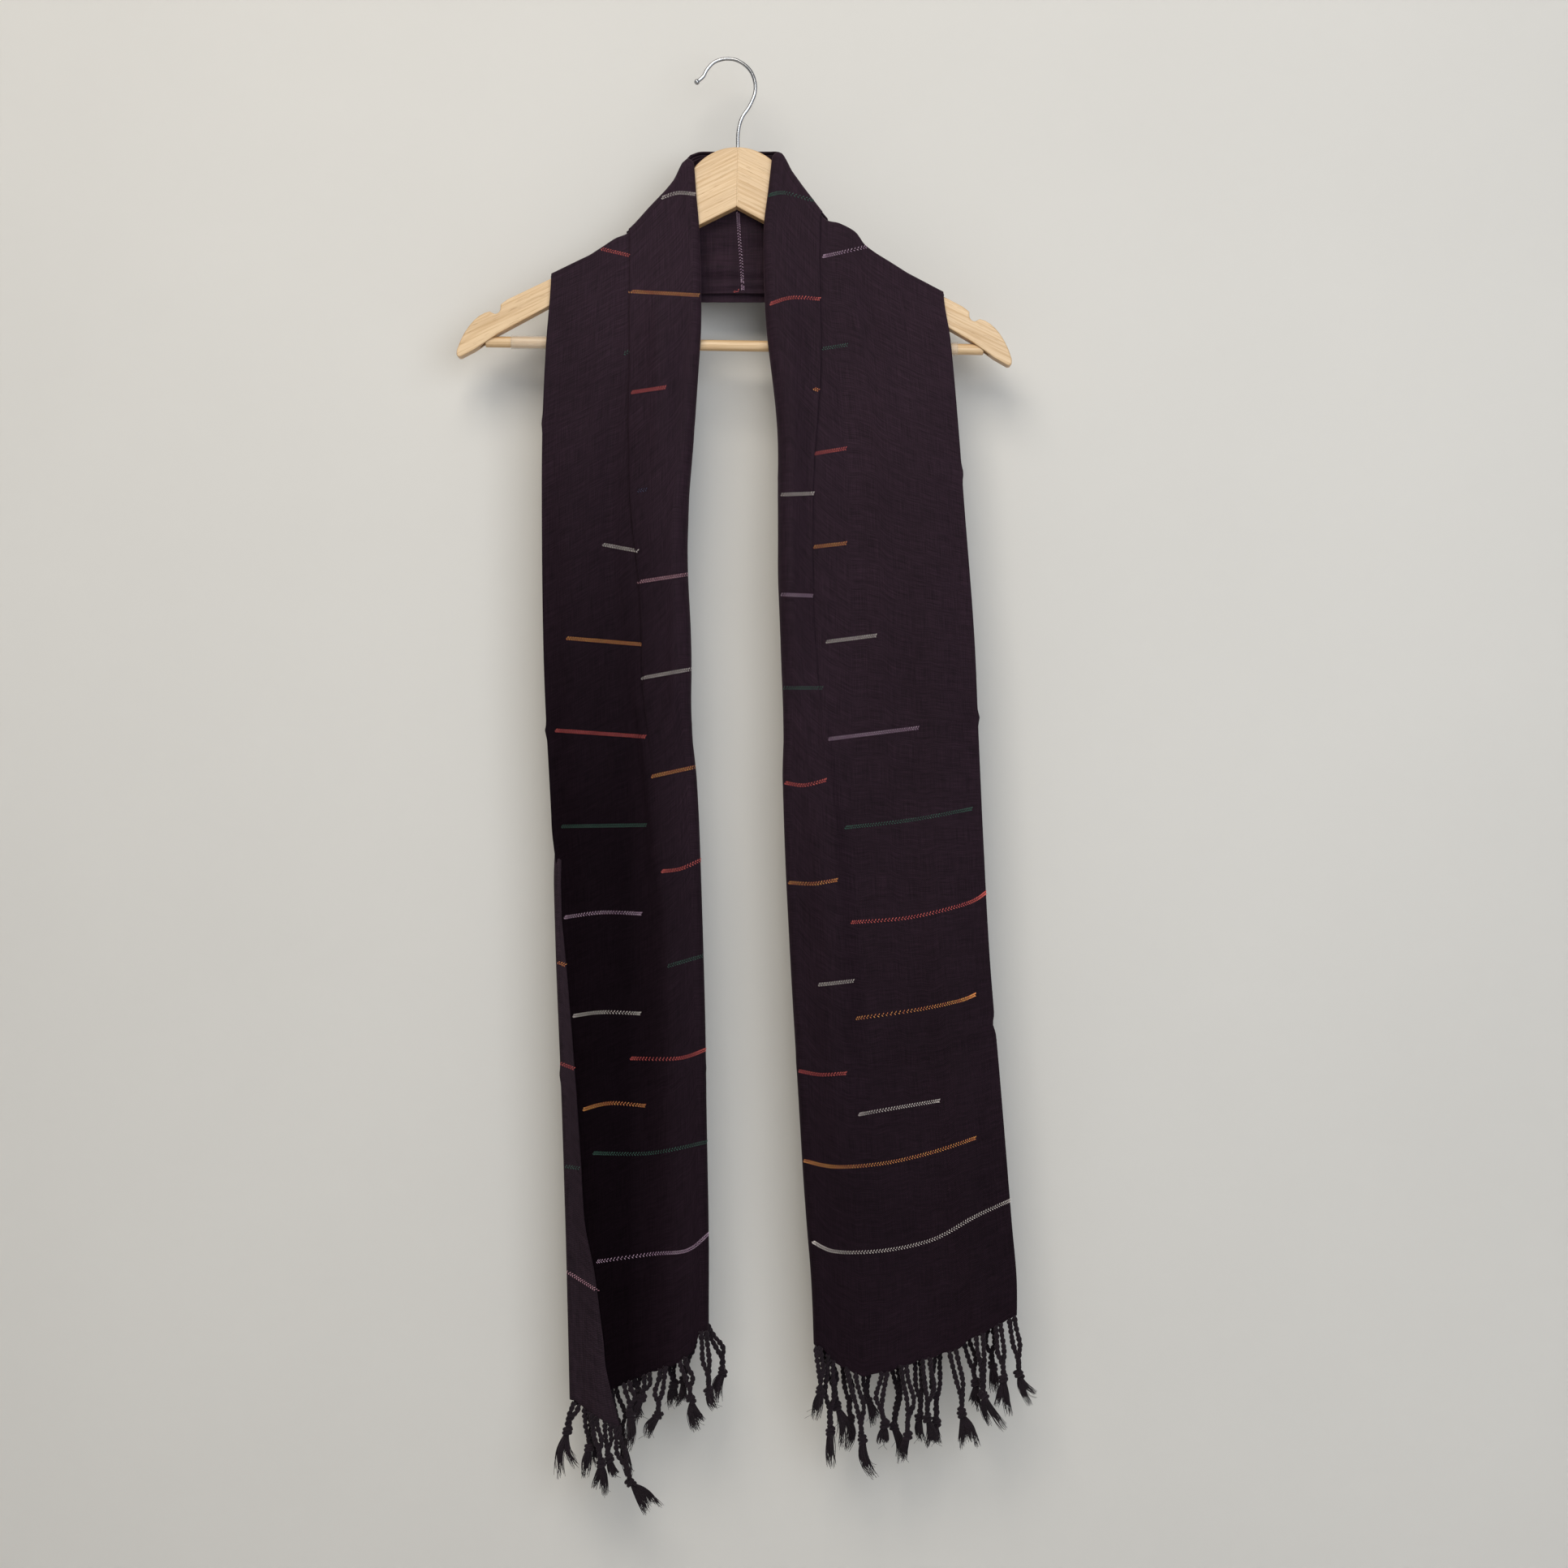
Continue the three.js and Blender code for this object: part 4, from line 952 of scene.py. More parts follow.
class NodeKit:
    """Makes the nodes of one material and joins them."""

    def __init__(self, name: str) -> None:
        """Starts a material with an empty tree and a shader."""
        self.material = bpy.data.materials.new(name)
        self.material.use_nodes = True
        self.tree = self.material.node_tree
        self.tree.nodes.clear()
        self.shader = self.add("ShaderNodeBsdfPrincipled")
        output = self.add("ShaderNodeOutputMaterial")
        self.tree.links.new(self.shader.outputs["BSDF"], output.inputs["Surface"])

    def add(self, kind: str, **values: object) -> bpy.types.Node:
        """Adds a node and sets its attributes."""
        node = self.tree.nodes.new(kind)
        for key, value in values.items():
            setattr(node, key, value)
        return node

    def link(self, source: bpy.types.NodeSocket, target: bpy.types.NodeSocket) -> None:
        """Joins two sockets."""
        self.tree.links.new(source, target)

    def coordinates(self, kind: str) -> bpy.types.NodeSocket:
        """Returns the Object or UV output of a coordinate node."""
        return self.add("ShaderNodeTexCoord").outputs[kind]

    def mapped(
        self,
        source: bpy.types.NodeSocket,
        scale: tuple[float, float, float],
        turn: tuple[float, float, float] = (0.0, 0.0, 0.0),
    ) -> bpy.types.NodeSocket:
        """Returns coordinates that are turned and scaled."""
        node = self.add("ShaderNodeMapping")
        node.inputs["Scale"].default_value = scale
        node.inputs["Rotation"].default_value = turn
        self.link(source, node.inputs["Vector"])
        return node.outputs["Vector"]

    def noise(
        self, source: bpy.types.NodeSocket, scale: float, detail: float, rough: float = 0.55
    ) -> bpy.types.NodeSocket:
        """Returns the value of a noise at coordinates."""
        node = self.add("ShaderNodeTexNoise")
        node.inputs["Scale"].default_value = scale
        node.inputs["Detail"].default_value = detail
        node.inputs["Roughness"].default_value = rough
        self.link(source, node.inputs["Vector"])
        return node.outputs["Fac"]

    def wave(self, source: bpy.types.NodeSocket, scale: float, warp: float) -> bpy.types.NodeSocket:
        """Returns a sine wave across x at coordinates."""
        node = self.add("ShaderNodeTexWave", wave_type="BANDS", bands_direction="X")
        node.wave_profile = "SIN"
        node.inputs["Scale"].default_value = scale
        node.inputs["Distortion"].default_value = warp
        node.inputs["Detail"].default_value = 1.0
        self.link(source, node.inputs["Vector"])
        return node.outputs["Fac"]

    def ramp(
        self, source: bpy.types.NodeSocket, stops: Sequence[tuple[float, Sequence[float]]]
    ) -> bpy.types.NodeSocket:
        """Returns a colour picked from a ramp by a value."""
        node = self.add("ShaderNodeValToRGB")
        elements = node.color_ramp.elements
        while len(elements) < len(stops):
            elements.new(0.5)
        for element, (place, colour) in zip(elements, stops):
            element.position = place
            element.color = (*colour[:3], 1.0)
        self.link(source, node.inputs["Fac"])
        return node.outputs["Color"]

    def span(
        self, source: bpy.types.NodeSocket, low: float, high: float, to: tuple[float, float]
    ) -> bpy.types.NodeSocket:
        """Returns a value moved from one range to another and held inside it."""
        node = self.add("ShaderNodeMapRange")
        node.inputs["From Min"].default_value = low
        node.inputs["From Max"].default_value = high
        node.inputs["To Min"].default_value = to[0]
        node.inputs["To Max"].default_value = to[1]
        self.link(source, node.inputs["Value"])
        return node.outputs["Result"]

    def maths(
        self, operation: str, a: bpy.types.NodeSocket, b: bpy.types.NodeSocket | float
    ) -> bpy.types.NodeSocket:
        """Returns the result of one operation on two values."""
        node = self.add("ShaderNodeMath", operation=operation)
        self.link(a, node.inputs[0])
        if isinstance(b, float):
            node.inputs[1].default_value = b
        else:
            self.link(b, node.inputs[1])
        return node.outputs[0]

    def blend(
        self,
        mode: str,
        share: bpy.types.NodeSocket | float,
        a: bpy.types.NodeSocket | Sequence[float],
        b: bpy.types.NodeSocket | Sequence[float],
    ) -> bpy.types.NodeSocket:
        """Returns two colours mixed in a blend mode."""
        node = self.add("ShaderNodeMix", data_type="RGBA", blend_type=mode)
        for socket, value in ((node.inputs[0], share), (node.inputs[6], a), (node.inputs[7], b)):
            if isinstance(value, bpy.types.NodeSocket):
                self.link(value, socket)
            elif isinstance(value, float):
                socket.default_value = value
            else:
                socket.default_value = (*value[:3], 1.0)
        return node.outputs[2]

    def bump(
        self,
        height: bpy.types.NodeSocket,
        distance: float,
        strength: float,
        below: bpy.types.NodeSocket | None = None,
    ) -> bpy.types.NodeSocket:
        """Returns a normal bumped by a height, on top of another bump if one is given."""
        node = self.add("ShaderNodeBump")
        node.inputs["Strength"].default_value = strength
        node.inputs["Distance"].default_value = distance
        self.link(height, node.inputs["Height"])
        if below is not None:
            self.link(below, node.inputs["Normal"])
        return node.outputs["Normal"]

    def set(self, **values: object) -> None:
        """Sets constants on the shader's own sockets; an underscore stands for a space."""
        for key, value in values.items():
            self.shader.inputs[key.replace("_", " ")].default_value = value


@dataclass(frozen=True)
class TwillFinish:
    """Fine twill: diagonal ribs, uneven handspun weft, soft sheen, and painted shade that darkens it towards
    the bottom and, low down, on the left.
    """

    name: str
    light: tuple[float, float, float]
    dark: tuple[float, float, float]
    rib: float = 0.0011
    sheen: float = 0.09
    gloss: float = 0.1
    # How dark the painted shade makes the bottom and, low down, the left side.
    painted_shade_low: float = 0.5
    painted_shade_left: float = 0.34

    def make(self) -> bpy.types.Material:
        """Builds the material and returns it."""
        kit = NodeKit(self.name)
        uv = kit.coordinates("UV")
        ribs = kit.wave(kit.mapped(uv, (1, 1, 1), (0, 0, math.radians(38))), 0.314 / self.rib, 0.4)
        weft = kit.noise(kit.mapped(uv, (60, 1500, 1)), 1.0, 3.0)
        warp = kit.noise(kit.mapped(uv, (1300, 45, 1)), 1.0, 2.0)
        cloud = kit.noise(kit.coordinates("Object"), 9.0, 4.0)
        slub = kit.noise(kit.mapped(uv, (22, 420, 1)), 1.0, 2.0)
        threads = kit.maths("ADD", kit.maths("MULTIPLY", weft, 0.55), kit.maths("MULTIPLY", warp, 0.45))
        tone = kit.ramp(threads, ((0.36, self.dark), (0.64, self.light)))
        tone = kit.blend("MULTIPLY", 0.5, tone, kit.ramp(ribs, ((0.0, (0.62,) * 3), (1.0, (1.25,) * 3))))
        tone = kit.blend("MULTIPLY", 0.5, tone, kit.ramp(cloud, ((0.3, (0.72,) * 3), (0.7, (1.2,) * 3))))
        tone = kit.blend("MULTIPLY", 0.35, tone, kit.ramp(slub, ((0.35, (0.7,) * 3), (0.65, (1.3,) * 3))))
        # Painted shade: darker towards the bottom, and darker still on the left below the shoulders.
        place = kit.add("ShaderNodeSeparateXYZ")
        kit.link(kit.coordinates("Object"), place.inputs[0])
        fall = kit.span(place.outputs["Z"], -0.25, -0.95, (1.0, self.painted_shade_low))
        side = kit.span(place.outputs["X"], -0.03, -0.08, (1.0, self.painted_shade_left))
        low = kit.span(place.outputs["Z"], -0.2, -0.6, (0.0, 1.0))
        side = kit.maths("ADD", kit.maths("MULTIPLY", kit.maths("SUBTRACT", side, 1.0), low), 1.0)
        shade = kit.maths("MULTIPLY", fall, side)
        shaded = kit.add("ShaderNodeCombineColor")
        for channel in ("Red", "Green", "Blue"):
            kit.link(shade, shaded.inputs[channel])
        tone = kit.blend("MULTIPLY", 1.0, tone, shaded.outputs[0])
        kit.link(tone, kit.shader.inputs["Base Color"])
        kit.link(kit.span(threads, 0.3, 0.7, (0.66, 0.84)), kit.shader.inputs["Roughness"])
        coarse = kit.bump(cloud, 0.004, 0.12)
        fine = kit.bump(threads, 0.00025, 0.35, coarse)
        kit.link(kit.bump(ribs, 0.00018, 0.5, fine), kit.shader.inputs["Normal"])
        # The painted shade also dims the specular level and the sheen.
        kit.link(kit.maths("MULTIPLY", shade, self.gloss), kit.shader.inputs["Specular IOR Level"])
        kit.link(kit.maths("MULTIPLY", shade, self.sheen), kit.shader.inputs["Sheen Weight"])
        kit.set(Sheen_Roughness=0.4, Sheen_Tint=(0.72, 0.46, 0.6, 1.0))
        return kit.material


@dataclass(frozen=True)
class YarnFinish:
    """Twisted near-black yarn with a fuzzy surface."""

    name: str
    light: tuple[float, float, float] = (0.020, 0.0125, 0.018)
    dark: tuple[float, float, float] = (0.006, 0.004, 0.006)

    def make(self) -> bpy.types.Material:
        """Builds the material and returns it."""
        kit = NodeKit(self.name)
        place = kit.coordinates("Object")
        fuzz = kit.noise(kit.mapped(place, (2600, 2600, 1100)), 1.0, 3.0)
        cloud = kit.noise(place, 90.0, 3.0)
        both = kit.maths("ADD", kit.maths("MULTIPLY", fuzz, 0.6), kit.maths("MULTIPLY", cloud, 0.4))
        kit.link(kit.ramp(both, ((0.35, self.dark), (0.65, self.light))), kit.shader.inputs["Base Color"])
        kit.link(kit.bump(fuzz, 0.0003, 0.6), kit.shader.inputs["Normal"])
        kit.link(kit.span(cloud, 0.3, 0.7, (0.75, 0.92)), kit.shader.inputs["Roughness"])
        kit.set(Specular_IOR_Level=0.14, Sheen_Weight=0.14, Sheen_Roughness=0.5)
        kit.set(Sheen_Tint=(0.6, 0.5, 0.56, 1.0))
        return kit.material


@dataclass(frozen=True)
class StripeFinish:
    """Soft coloured embroidery cotton; each float's own colour is kept in an attribute."""

    name: str
    attribute: str = "thread_colour"

    def make(self) -> bpy.types.Material:
        """Builds the material and returns it."""
        kit = NodeKit(self.name)
        colour = kit.add("ShaderNodeAttribute", attribute_name=self.attribute)
        strands = kit.noise(kit.mapped(kit.coordinates("Object"), (3000, 3000, 3000)), 1.0, 2.0)
        shade = kit.ramp(strands, ((0.3, (0.7,) * 3), (0.7, (1.15,) * 3)))
        tone = kit.blend("MULTIPLY", 0.7, colour.outputs["Color"], shade)
        kit.link(tone, kit.shader.inputs["Base Color"])
        kit.link(kit.bump(strands, 0.0001, 0.4), kit.shader.inputs["Normal"])
        kit.set(Roughness=0.62, Specular_IOR_Level=0.3, Sheen_Weight=0.2, Sheen_Roughness=0.4)
        return kit.material


@dataclass(frozen=True)
class BeechFinish:
    """Pale varnished beech with its grain along one direction in the hanger's plane."""

    name: str
    slope: float
    pale: tuple[float, float, float] = (0.76, 0.56, 0.345)
    deep: tuple[float, float, float] = (0.60, 0.395, 0.205)
    # The colour of the painted shade where the wood turns away from the front and back.
    edge: tuple[float, float, float] = (0.47, 0.245, 0.085)

    def make(self) -> bpy.types.Material:
        """Builds the material and returns it."""
        kit = NodeKit(self.name)
        turned = kit.mapped(kit.coordinates("Object"), (1, 1, 1), (0, self.slope, 0))
        fibres = kit.noise(kit.mapped(turned, (18, 260, 700)), 1.0, 5.0, 0.6)
        bands = kit.noise(kit.mapped(turned, (5, 40, 95)), 1.0, 3.0)
        flecks = kit.noise(kit.mapped(turned, (90, 900, 1500)), 1.0, 1.0)
        tone = kit.ramp(fibres, ((0.34, self.deep), (0.58, self.pale)))
        tint = kit.ramp(bands, ((0.3, (0.84, 0.8, 0.76)), (0.7, (1.06,) * 3)))
        tone = kit.blend("MULTIPLY", 0.6, tone, tint)
        dark = kit.ramp(flecks, ((0.26, (0.56, 0.44, 0.32)), (0.34, (1.0,) * 3)))
        tone = kit.blend("MULTIPLY", 0.55, tone, dark)
        # Painted shade: where the surface turns away from the front and back it takes the darker edge
        # colour, on the arms' edges and on the bar's top and underside.
        normal = kit.add("ShaderNodeSeparateXYZ")
        kit.link(kit.add("ShaderNodeNewGeometry").outputs["Normal"], normal.inputs[0])
        facing = kit.maths("ABSOLUTE", normal.outputs["Y"], 0.0)
        rim = kit.span(facing, 0.55, 0.95, (0.62, 0.0))
        tone = kit.blend("MIX", rim, tone, self.edge)
        kit.link(tone, kit.shader.inputs["Base Color"])
        kit.link(kit.span(fibres, 0.3, 0.7, (0.46, 0.34)), kit.shader.inputs["Roughness"])
        kit.link(kit.bump(fibres, 0.0003, 0.22), kit.shader.inputs["Normal"])
        kit.set(Specular_IOR_Level=0.45, Coat_Weight=0.12, Coat_Roughness=0.3)
        return kit.material


@dataclass(frozen=True)
class SteelFinish:
    """Bright plated steel wire with fine drawing lines along it."""

    name: str

    def make(self) -> bpy.types.Material:
        """Builds the material and returns it."""
        kit = NodeKit(self.name)
        marks = kit.noise(kit.mapped(kit.coordinates("Object"), (900, 2400, 900)), 1.0, 3.0)
        cloud = kit.noise(kit.coordinates("Object"), 140.0, 2.0)
        tone = kit.ramp(cloud, ((0.3, (0.34, 0.345, 0.36)), (0.7, (0.46, 0.465, 0.48))))
        kit.link(tone, kit.shader.inputs["Base Color"])
        kit.link(kit.span(marks, 0.3, 0.7, (0.16, 0.34)), kit.shader.inputs["Roughness"])
        kit.link(kit.bump(marks, 0.00008, 0.3), kit.shader.inputs["Normal"])
        kit.set(Metallic=1.0)
        return kit.material


@dataclass(frozen=True)
class VinylFinish:
    """A thin, slightly milky clear sleeve with a dull grip."""

    name: str

    def make(self) -> bpy.types.Material:
        """Builds the material and returns it."""
        kit = NodeKit(self.name)
        haze = kit.noise(kit.coordinates("Object"), 260.0, 3.0)
        tone = kit.ramp(haze, ((0.3, (0.78, 0.69, 0.56)), (0.7, (0.86, 0.80, 0.70))))
        kit.link(tone, kit.shader.inputs["Base Color"])
        kit.link(kit.span(haze, 0.3, 0.7, (0.28, 0.42)), kit.shader.inputs["Roughness"])
        kit.set(Alpha=0.2, Specular_IOR_Level=0.5)
        return kit.material


@dataclass(frozen=True)
class PlasterFinish:
    """Pale matt paint for the wall and the floor."""

    name: str
    colour: tuple[float, float, float]

    def make(self) -> bpy.types.Material:
        """Builds the material and returns it."""
        kit = NodeKit(self.name)
        cloud = kit.noise(kit.coordinates("Object"), 1.6, 4.0)
        darker = tuple(0.95 * c for c in self.colour)
        kit.link(kit.ramp(cloud, ((0.3, darker), (0.7, self.colour))), kit.shader.inputs["Base Color"])
        kit.set(Roughness=0.95, Specular_IOR_Level=0.1)
        return kit.material


@dataclass
class Finishes:
    """Every finish of the object, made once."""

    twill: bpy.types.Material = field(init=False)
    reverse: bpy.types.Material = field(init=False)
    yarn: bpy.types.Material = field(init=False)
    stripe: bpy.types.Material = field(init=False)
    beech_left: bpy.types.Material = field(init=False)
    beech_right: bpy.types.Material = field(init=False)
    beech_bar: bpy.types.Material = field(init=False)
    glue: bpy.types.Material = field(init=False)
    steel: bpy.types.Material = field(init=False)
    vinyl: bpy.types.Material = field(init=False)

    def __post_init__(self) -> None:
        """Builds the materials."""
        self.twill = TwillFinish("aubergine twill", (0.034, 0.0175, 0.0285), (0.0125, 0.0065, 0.0108)).make()
        reverse = TwillFinish(
            "twill reverse",
            (0.046, 0.028, 0.040),
            (0.019, 0.012, 0.017),
            # The reverse gets a lighter painted shade at the bottom and none on the left.
            painted_shade_low=0.62,
            painted_shade_left=1.0,
        )
        self.reverse = reverse.make()
        self.yarn = YarnFinish("fringe yarn").make()
        self.stripe = StripeFinish("stripe cotton").make()
        grain = math.radians(26)
        self.beech_left = BeechFinish("beech left arm", grain).make()
        self.beech_right = BeechFinish("beech right arm", -grain).make()
        # The bar's painted shade on its top and underside is a little lighter.
        self.beech_bar = BeechFinish("beech bar", 0.0, edge=(0.56, 0.34, 0.15)).make()
        self.glue = BeechFinish("glue line", 0.0, (0.60, 0.41, 0.23), (0.50, 0.33, 0.18)).make()
        self.steel = SteelFinish("steel wire").make()
        self.vinyl = VinylFinish("clear vinyl").make()


# ---- making pieces ----------------------------------------------------------------------------


def mesh_of(name: str, bm: bmesh.types.BMesh) -> bpy.types.Mesh:
    """Turns a worked mesh into a named one and frees it."""
    mesh = bpy.data.meshes.new(name)
    bm.to_mesh(mesh)
    bm.free()
    return mesh


def make_object(name: str, mesh: bpy.types.Mesh, material: bpy.types.Material) -> bpy.types.Object:
    """Links a new object at the origin, with one material.

    Args:
        name: the piece's name.
        mesh: its mesh, already in place.
        material: its finish.

    Returns:
        The object.
    """
    piece = bpy.data.objects.new(name, mesh)
    mesh.materials.clear()
    mesh.materials.append(material)
    bpy.context.scene.collection.objects.link(piece)
    return piece


def hand_over(piece: bpy.types.Object, slot: Slot, *nodes: str) -> None:
    """Lets a piece ride on the body and hides the nodes it stands for."""
    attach(piece, BODY)
    if nodes:
        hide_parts(*nodes)
    LOG.info("%s: %d faces", piece.name, len(piece.data.polygons))


@dataclass
class ClothShell:
    """One stretch of the cloth: a fine grid laid on its face, given its thickness and soft rims.

    Args:
        name: the piece's name.
        face: its outer face, in millimetres.
        columns: the shares across.
        rows: the shares down.
        sign: 1 or -1, which turns the grid to face outwards.
        cut: its flat width and length, in metres.
        thick: its wall, in millimetres.
        weft_down: whether the weft runs down the face instead of across it.
    """

    name: str
    face: Face
    columns: Sequence[float]
    rows: Sequence[float]
    sign: int
    cut: tuple[float, float]
    thick: float = CLOTH
    weft_down: bool = False

    def make(self, material: bpy.types.Material) -> bpy.types.Object:
        """Builds the shell and returns it."""
        across, down = len(self.columns) - 1, len(self.rows) - 1
        bm = bmesh.new()
        uv_layer = bm.loops.layers.uv.new("UVMap")
        bmesh.ops.create_grid(bm, x_segments=across, y_segments=down, size=0.5)
        shares = {}
        for vert in bm.verts:
            u = self.columns[round((vert.co.x + 0.5) * across)]
            v = self.rows[round((vert.co.y + 0.5) * down)]
            shares[vert.index] = (u, v)
            vert.co = self.face(u, v) * MM
        width, length = self.cut
        for patch in bm.faces:
            patch.smooth = True
            for loop in patch.loops:
                u, v = shares[loop.vert.index]
                place = (u * width, -v * length)
                loop[uv_layer].uv = place[::-1] if self.weft_down else place
        if self.sign < 0:
            bmesh.ops.reverse_faces(bm, faces=bm.faces)
        mesh = mesh_of(self.name, bm)
        piece = make_object(self.name, mesh, material)
        wall = piece.modifiers.new("wall", "SOLIDIFY")
        wall.thickness = self.thick * MM
        wall.offset = -1
        wall.use_even_offset = False
        rim = piece.modifiers.new("rim", "BEVEL")
        rim.width = 0.3 * self.thick * MM
        rim.segments = 2
        rim.limit_method = "ANGLE"
        rim.angle_limit = math.radians(60)
        return piece


class Strand(NamedTuple):
    """A round strand: its points in metres and its radius at each, in metres."""

    points: list[Vector]
    radii: list[float]


def strands_mesh(name: str, strands: Sequence[Strand], roundness: int) -> bpy.types.Mesh:
    """Turns strands into one mesh of closed tubes.

    Args:
        name: the mesh's name.
        strands: the strands.
        roundness: 0 for four sides, 1 for six, and so on.

    Returns:
        The mesh, with no holes at the ends.
    """
    curve = bpy.data.curves.new(name + "_path", "CURVE")
    curve.dimensions = "3D"
    curve.bevel_depth = 1.0
    curve.bevel_resolution = roundness
    curve.use_fill_caps = True
    for strand in strands:
        spline = curve.splines.new("POLY")
        spline.points.add(len(strand.points) - 1)
        for knot, place, radius in zip(spline.points, strand.points, strand.radii):
            knot.co = (*place, 1.0)
            knot.radius = radius
    holder = bpy.data.objects.new(name + "_path", curve)
    bpy.context.scene.collection.objects.link(holder)
    bpy.context.view_layer.update()
    graph = bpy.context.evaluated_depsgraph_get()
    mesh = bpy.data.meshes.new_from_object(holder.evaluated_get(graph))
    mesh.name = name
    bpy.data.objects.remove(holder)
    bpy.data.curves.remove(curve)
    for polygon in mesh.polygons:
        polygon.use_smooth = True
    return mesh


def smooth_path(places: Sequence[Vector], count: int) -> list[Vector]:
    """Returns a smooth path of count + 1 points through some places."""
    last = len(places) - 1
    path = []
    for step in range(count + 1):
        at = step / count * last
        i = min(int(at), last - 1)
        t = at - i
        before, start = places[max(0, i - 1)], places[i]
        end, after = places[i + 1], places[min(last, i + 2)]
        slope_in, slope_out = (end - before) / 2, (after - start) / 2
        a, b = 2 * t**3 - 3 * t**2 + 1, t**3 - 2 * t**2 + t
        path.append(start * a + slope_in * b + end * (1 - a) + slope_out * (t**3 - t**2))
    return path


# ---- the hanger -------------------------------------------------------------------------------


@dataclass
class Hanger:
    """Two mitred beech arms, a round bar with clear sleeves, and a wire hook."""

    finishes: Finishes
    bar_z: float = -228.6
    bar_radius: float = 4.4
    bar_reach: float = 199.5
    block_top: float = -70.7
    joint_top: float = -71.4
    joint_foot: float = -117.7
    joint_fill: tuple[float, float] = (1.15, 6.22)
    glue_size: tuple[float, float] = (0.2, 6.26)
    sleeve_in: float = 118.0
    sleeve_out: float = 179.0
    sleeve_radius: float = 5.2
    wire: float = 1.5
    ball: float = 2.3

    def hung(self) -> Matrix:
        """Returns the turn and shift from the hanger's own frame to where it hangs."""
        lift = Matrix.Translation((0, 0, -self.block_top))
        place = Matrix.Translation((CENTRE_X, 0, self.block_top))
        return Matrix.Scale(MM, 4) @ place @ Matrix.Rotation(TILT, 4, "Y") @ lift

    def arms(self) -> None:
        """Dresses the two arms."""
        dressed = (("left", self.finishes.beech_left), ("right", self.finishes.beech_right))
        for side, material in dressed:
            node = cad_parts[f"hanger_arm_{side}"]
            node.data.materials.clear()
            node.data.materials.append(material)

    def rod(
        self, start: float, end: float, radius: float, rounding: float, segments: int
    ) -> bmesh.types.BMesh:
        """Returns a rod along the hanger with rounded ends, in millimetres and hung in place."""
        bm = bmesh.new()
        turn = Matrix.Rotation(math.pi / 2, 4, "Y")
        place = Matrix.Translation(((start + end) / 2, 0, self.bar_z))
        bmesh.ops.create_cone(
            bm,
            cap_ends=True,
            segments=segments,
            radius1=radius,
            radius2=radius,
            depth=end - start,
            matrix=place @ turn,
        )
        rims = [edge for edge in bm.edges if any(len(f.verts) > 4 for f in edge.link_faces)]
        bmesh.ops.bevel(
            bm,
            geom=rims,
            offset=rounding,
            segments=3,
            profile=0.5,
            affect="EDGES",
            material=-1,
        )
        bmesh.ops.transform(bm, matrix=self.hung(), verts=bm.verts)
        return bm

    def bar(self) -> None:
        """Builds the trouser bar."""
        bm = self.rod(-self.bar_reach, self.bar_reach, self.bar_radius, 0.8, 40)
        mesh = bpy.data.meshes.new("trouser_bar")
        for polygon in bm.faces:
            polygon.smooth = len(polygon.verts) <= 4
        bm.to_mesh(mesh)
        bm.free()
        hand_over(make_object("trouser_bar", mesh, self.finishes.beech_bar), Slot.BEECH, "hanger_bar")

    def sleeves(self) -> None:
        """Builds the two clear sleeves with their shallow grip rings."""
        for name, side in (("left", -1), ("right", 1)):
            ends = sorted((side * self.sleeve_in, side * self.sleeve_out))
            bm = bmesh.new()
            ring_gap = 3.0
            count = int((ends[1] - ends[0]) / ring_gap)
            profile = []
            for i, x in enumerate(steps(2 * count, *ends)):
                radius = self.sleeve_radius - (0.18 if i % 2 else 0.0)
                profile.append(bm.verts.new((x, 0, radius)))
            edges = [bm.edges.new(pair) for pair in zip(profile, profile[1:])]
            bmesh.ops.spin(
                bm,
                geom=profile + edges,
                cent=(0, 0, 0),
                axis=(1, 0, 0),
                angle=2 * math.pi,
                steps=32,
                use_merge=True,
            )
            bmesh.ops.remove_doubles(bm, verts=bm.verts, dist=1e-4)
            bmesh.ops.recalc_face_normals(bm, faces=bm.faces)
            place = self.hung() @ Matrix.Translation((0, 0, self.bar_z))
            bmesh.ops.transform(bm, matrix=place, verts=bm.verts)
            for polygon in bm.faces:
                polygon.smooth = True
            mesh = mesh_of(f"clear_sleeve_{name}", bm)
            piece = make_object(f"clear_sleeve_{name}", mesh, self.finishes.vinyl)
            wall = piece.modifiers.new("wall", "SOLIDIFY")
            wall.thickness = 0.5 * MM
            wall.offset = -1
            hand_over(piece, Slot.SLEEVE, f"bar_sleeve_{name}")

    def hook(self) -> None:
        """Builds the wire hook with its beaded end."""
        spots = (
            Spot(-24.8, -17.0),
            Spot(-19.8, -12.8),
            Spot(-16.6, -7.0),
            Spot(-10.5, -1.0),
            Spot(-1.2, 1.5),
            Spot(8.4, -0.2),
            Spot(17.2, -7.0),
            Spot(21.4, -16.0),
            Spot(21.6, -26.0),
            Spot(17.2, -36.8),
            Spot(11.2, -46.0),
            Spot(8.3, -57.0),
            Spot(7.9, -70.0),
            Spot(7.6, -90.0),
        )
        places = [Vector((spot.x, 0, spot.z)) * MM for spot in spots]
        path = smooth_path(places, 150)
        mesh = strands_mesh("wire_hook", [Strand(path, [self.wire * MM] * len(path))], 6)
        bm = bmesh.new()
        bm.from_mesh(mesh)
        bmesh.ops.create_uvsphere(
            bm,
            u_segments=24,
            v_segments=14,
            radius=self.ball * MM,
            matrix=Matrix.Translation(places[0]),
        )
        for polygon in bm.faces:
            polygon.smooth = True
        bm.to_mesh(mesh)
        bm.free()
        hand_over(make_object("wire_hook", mesh, self.finishes.steel), Slot.STEEL, "hanger_hook")

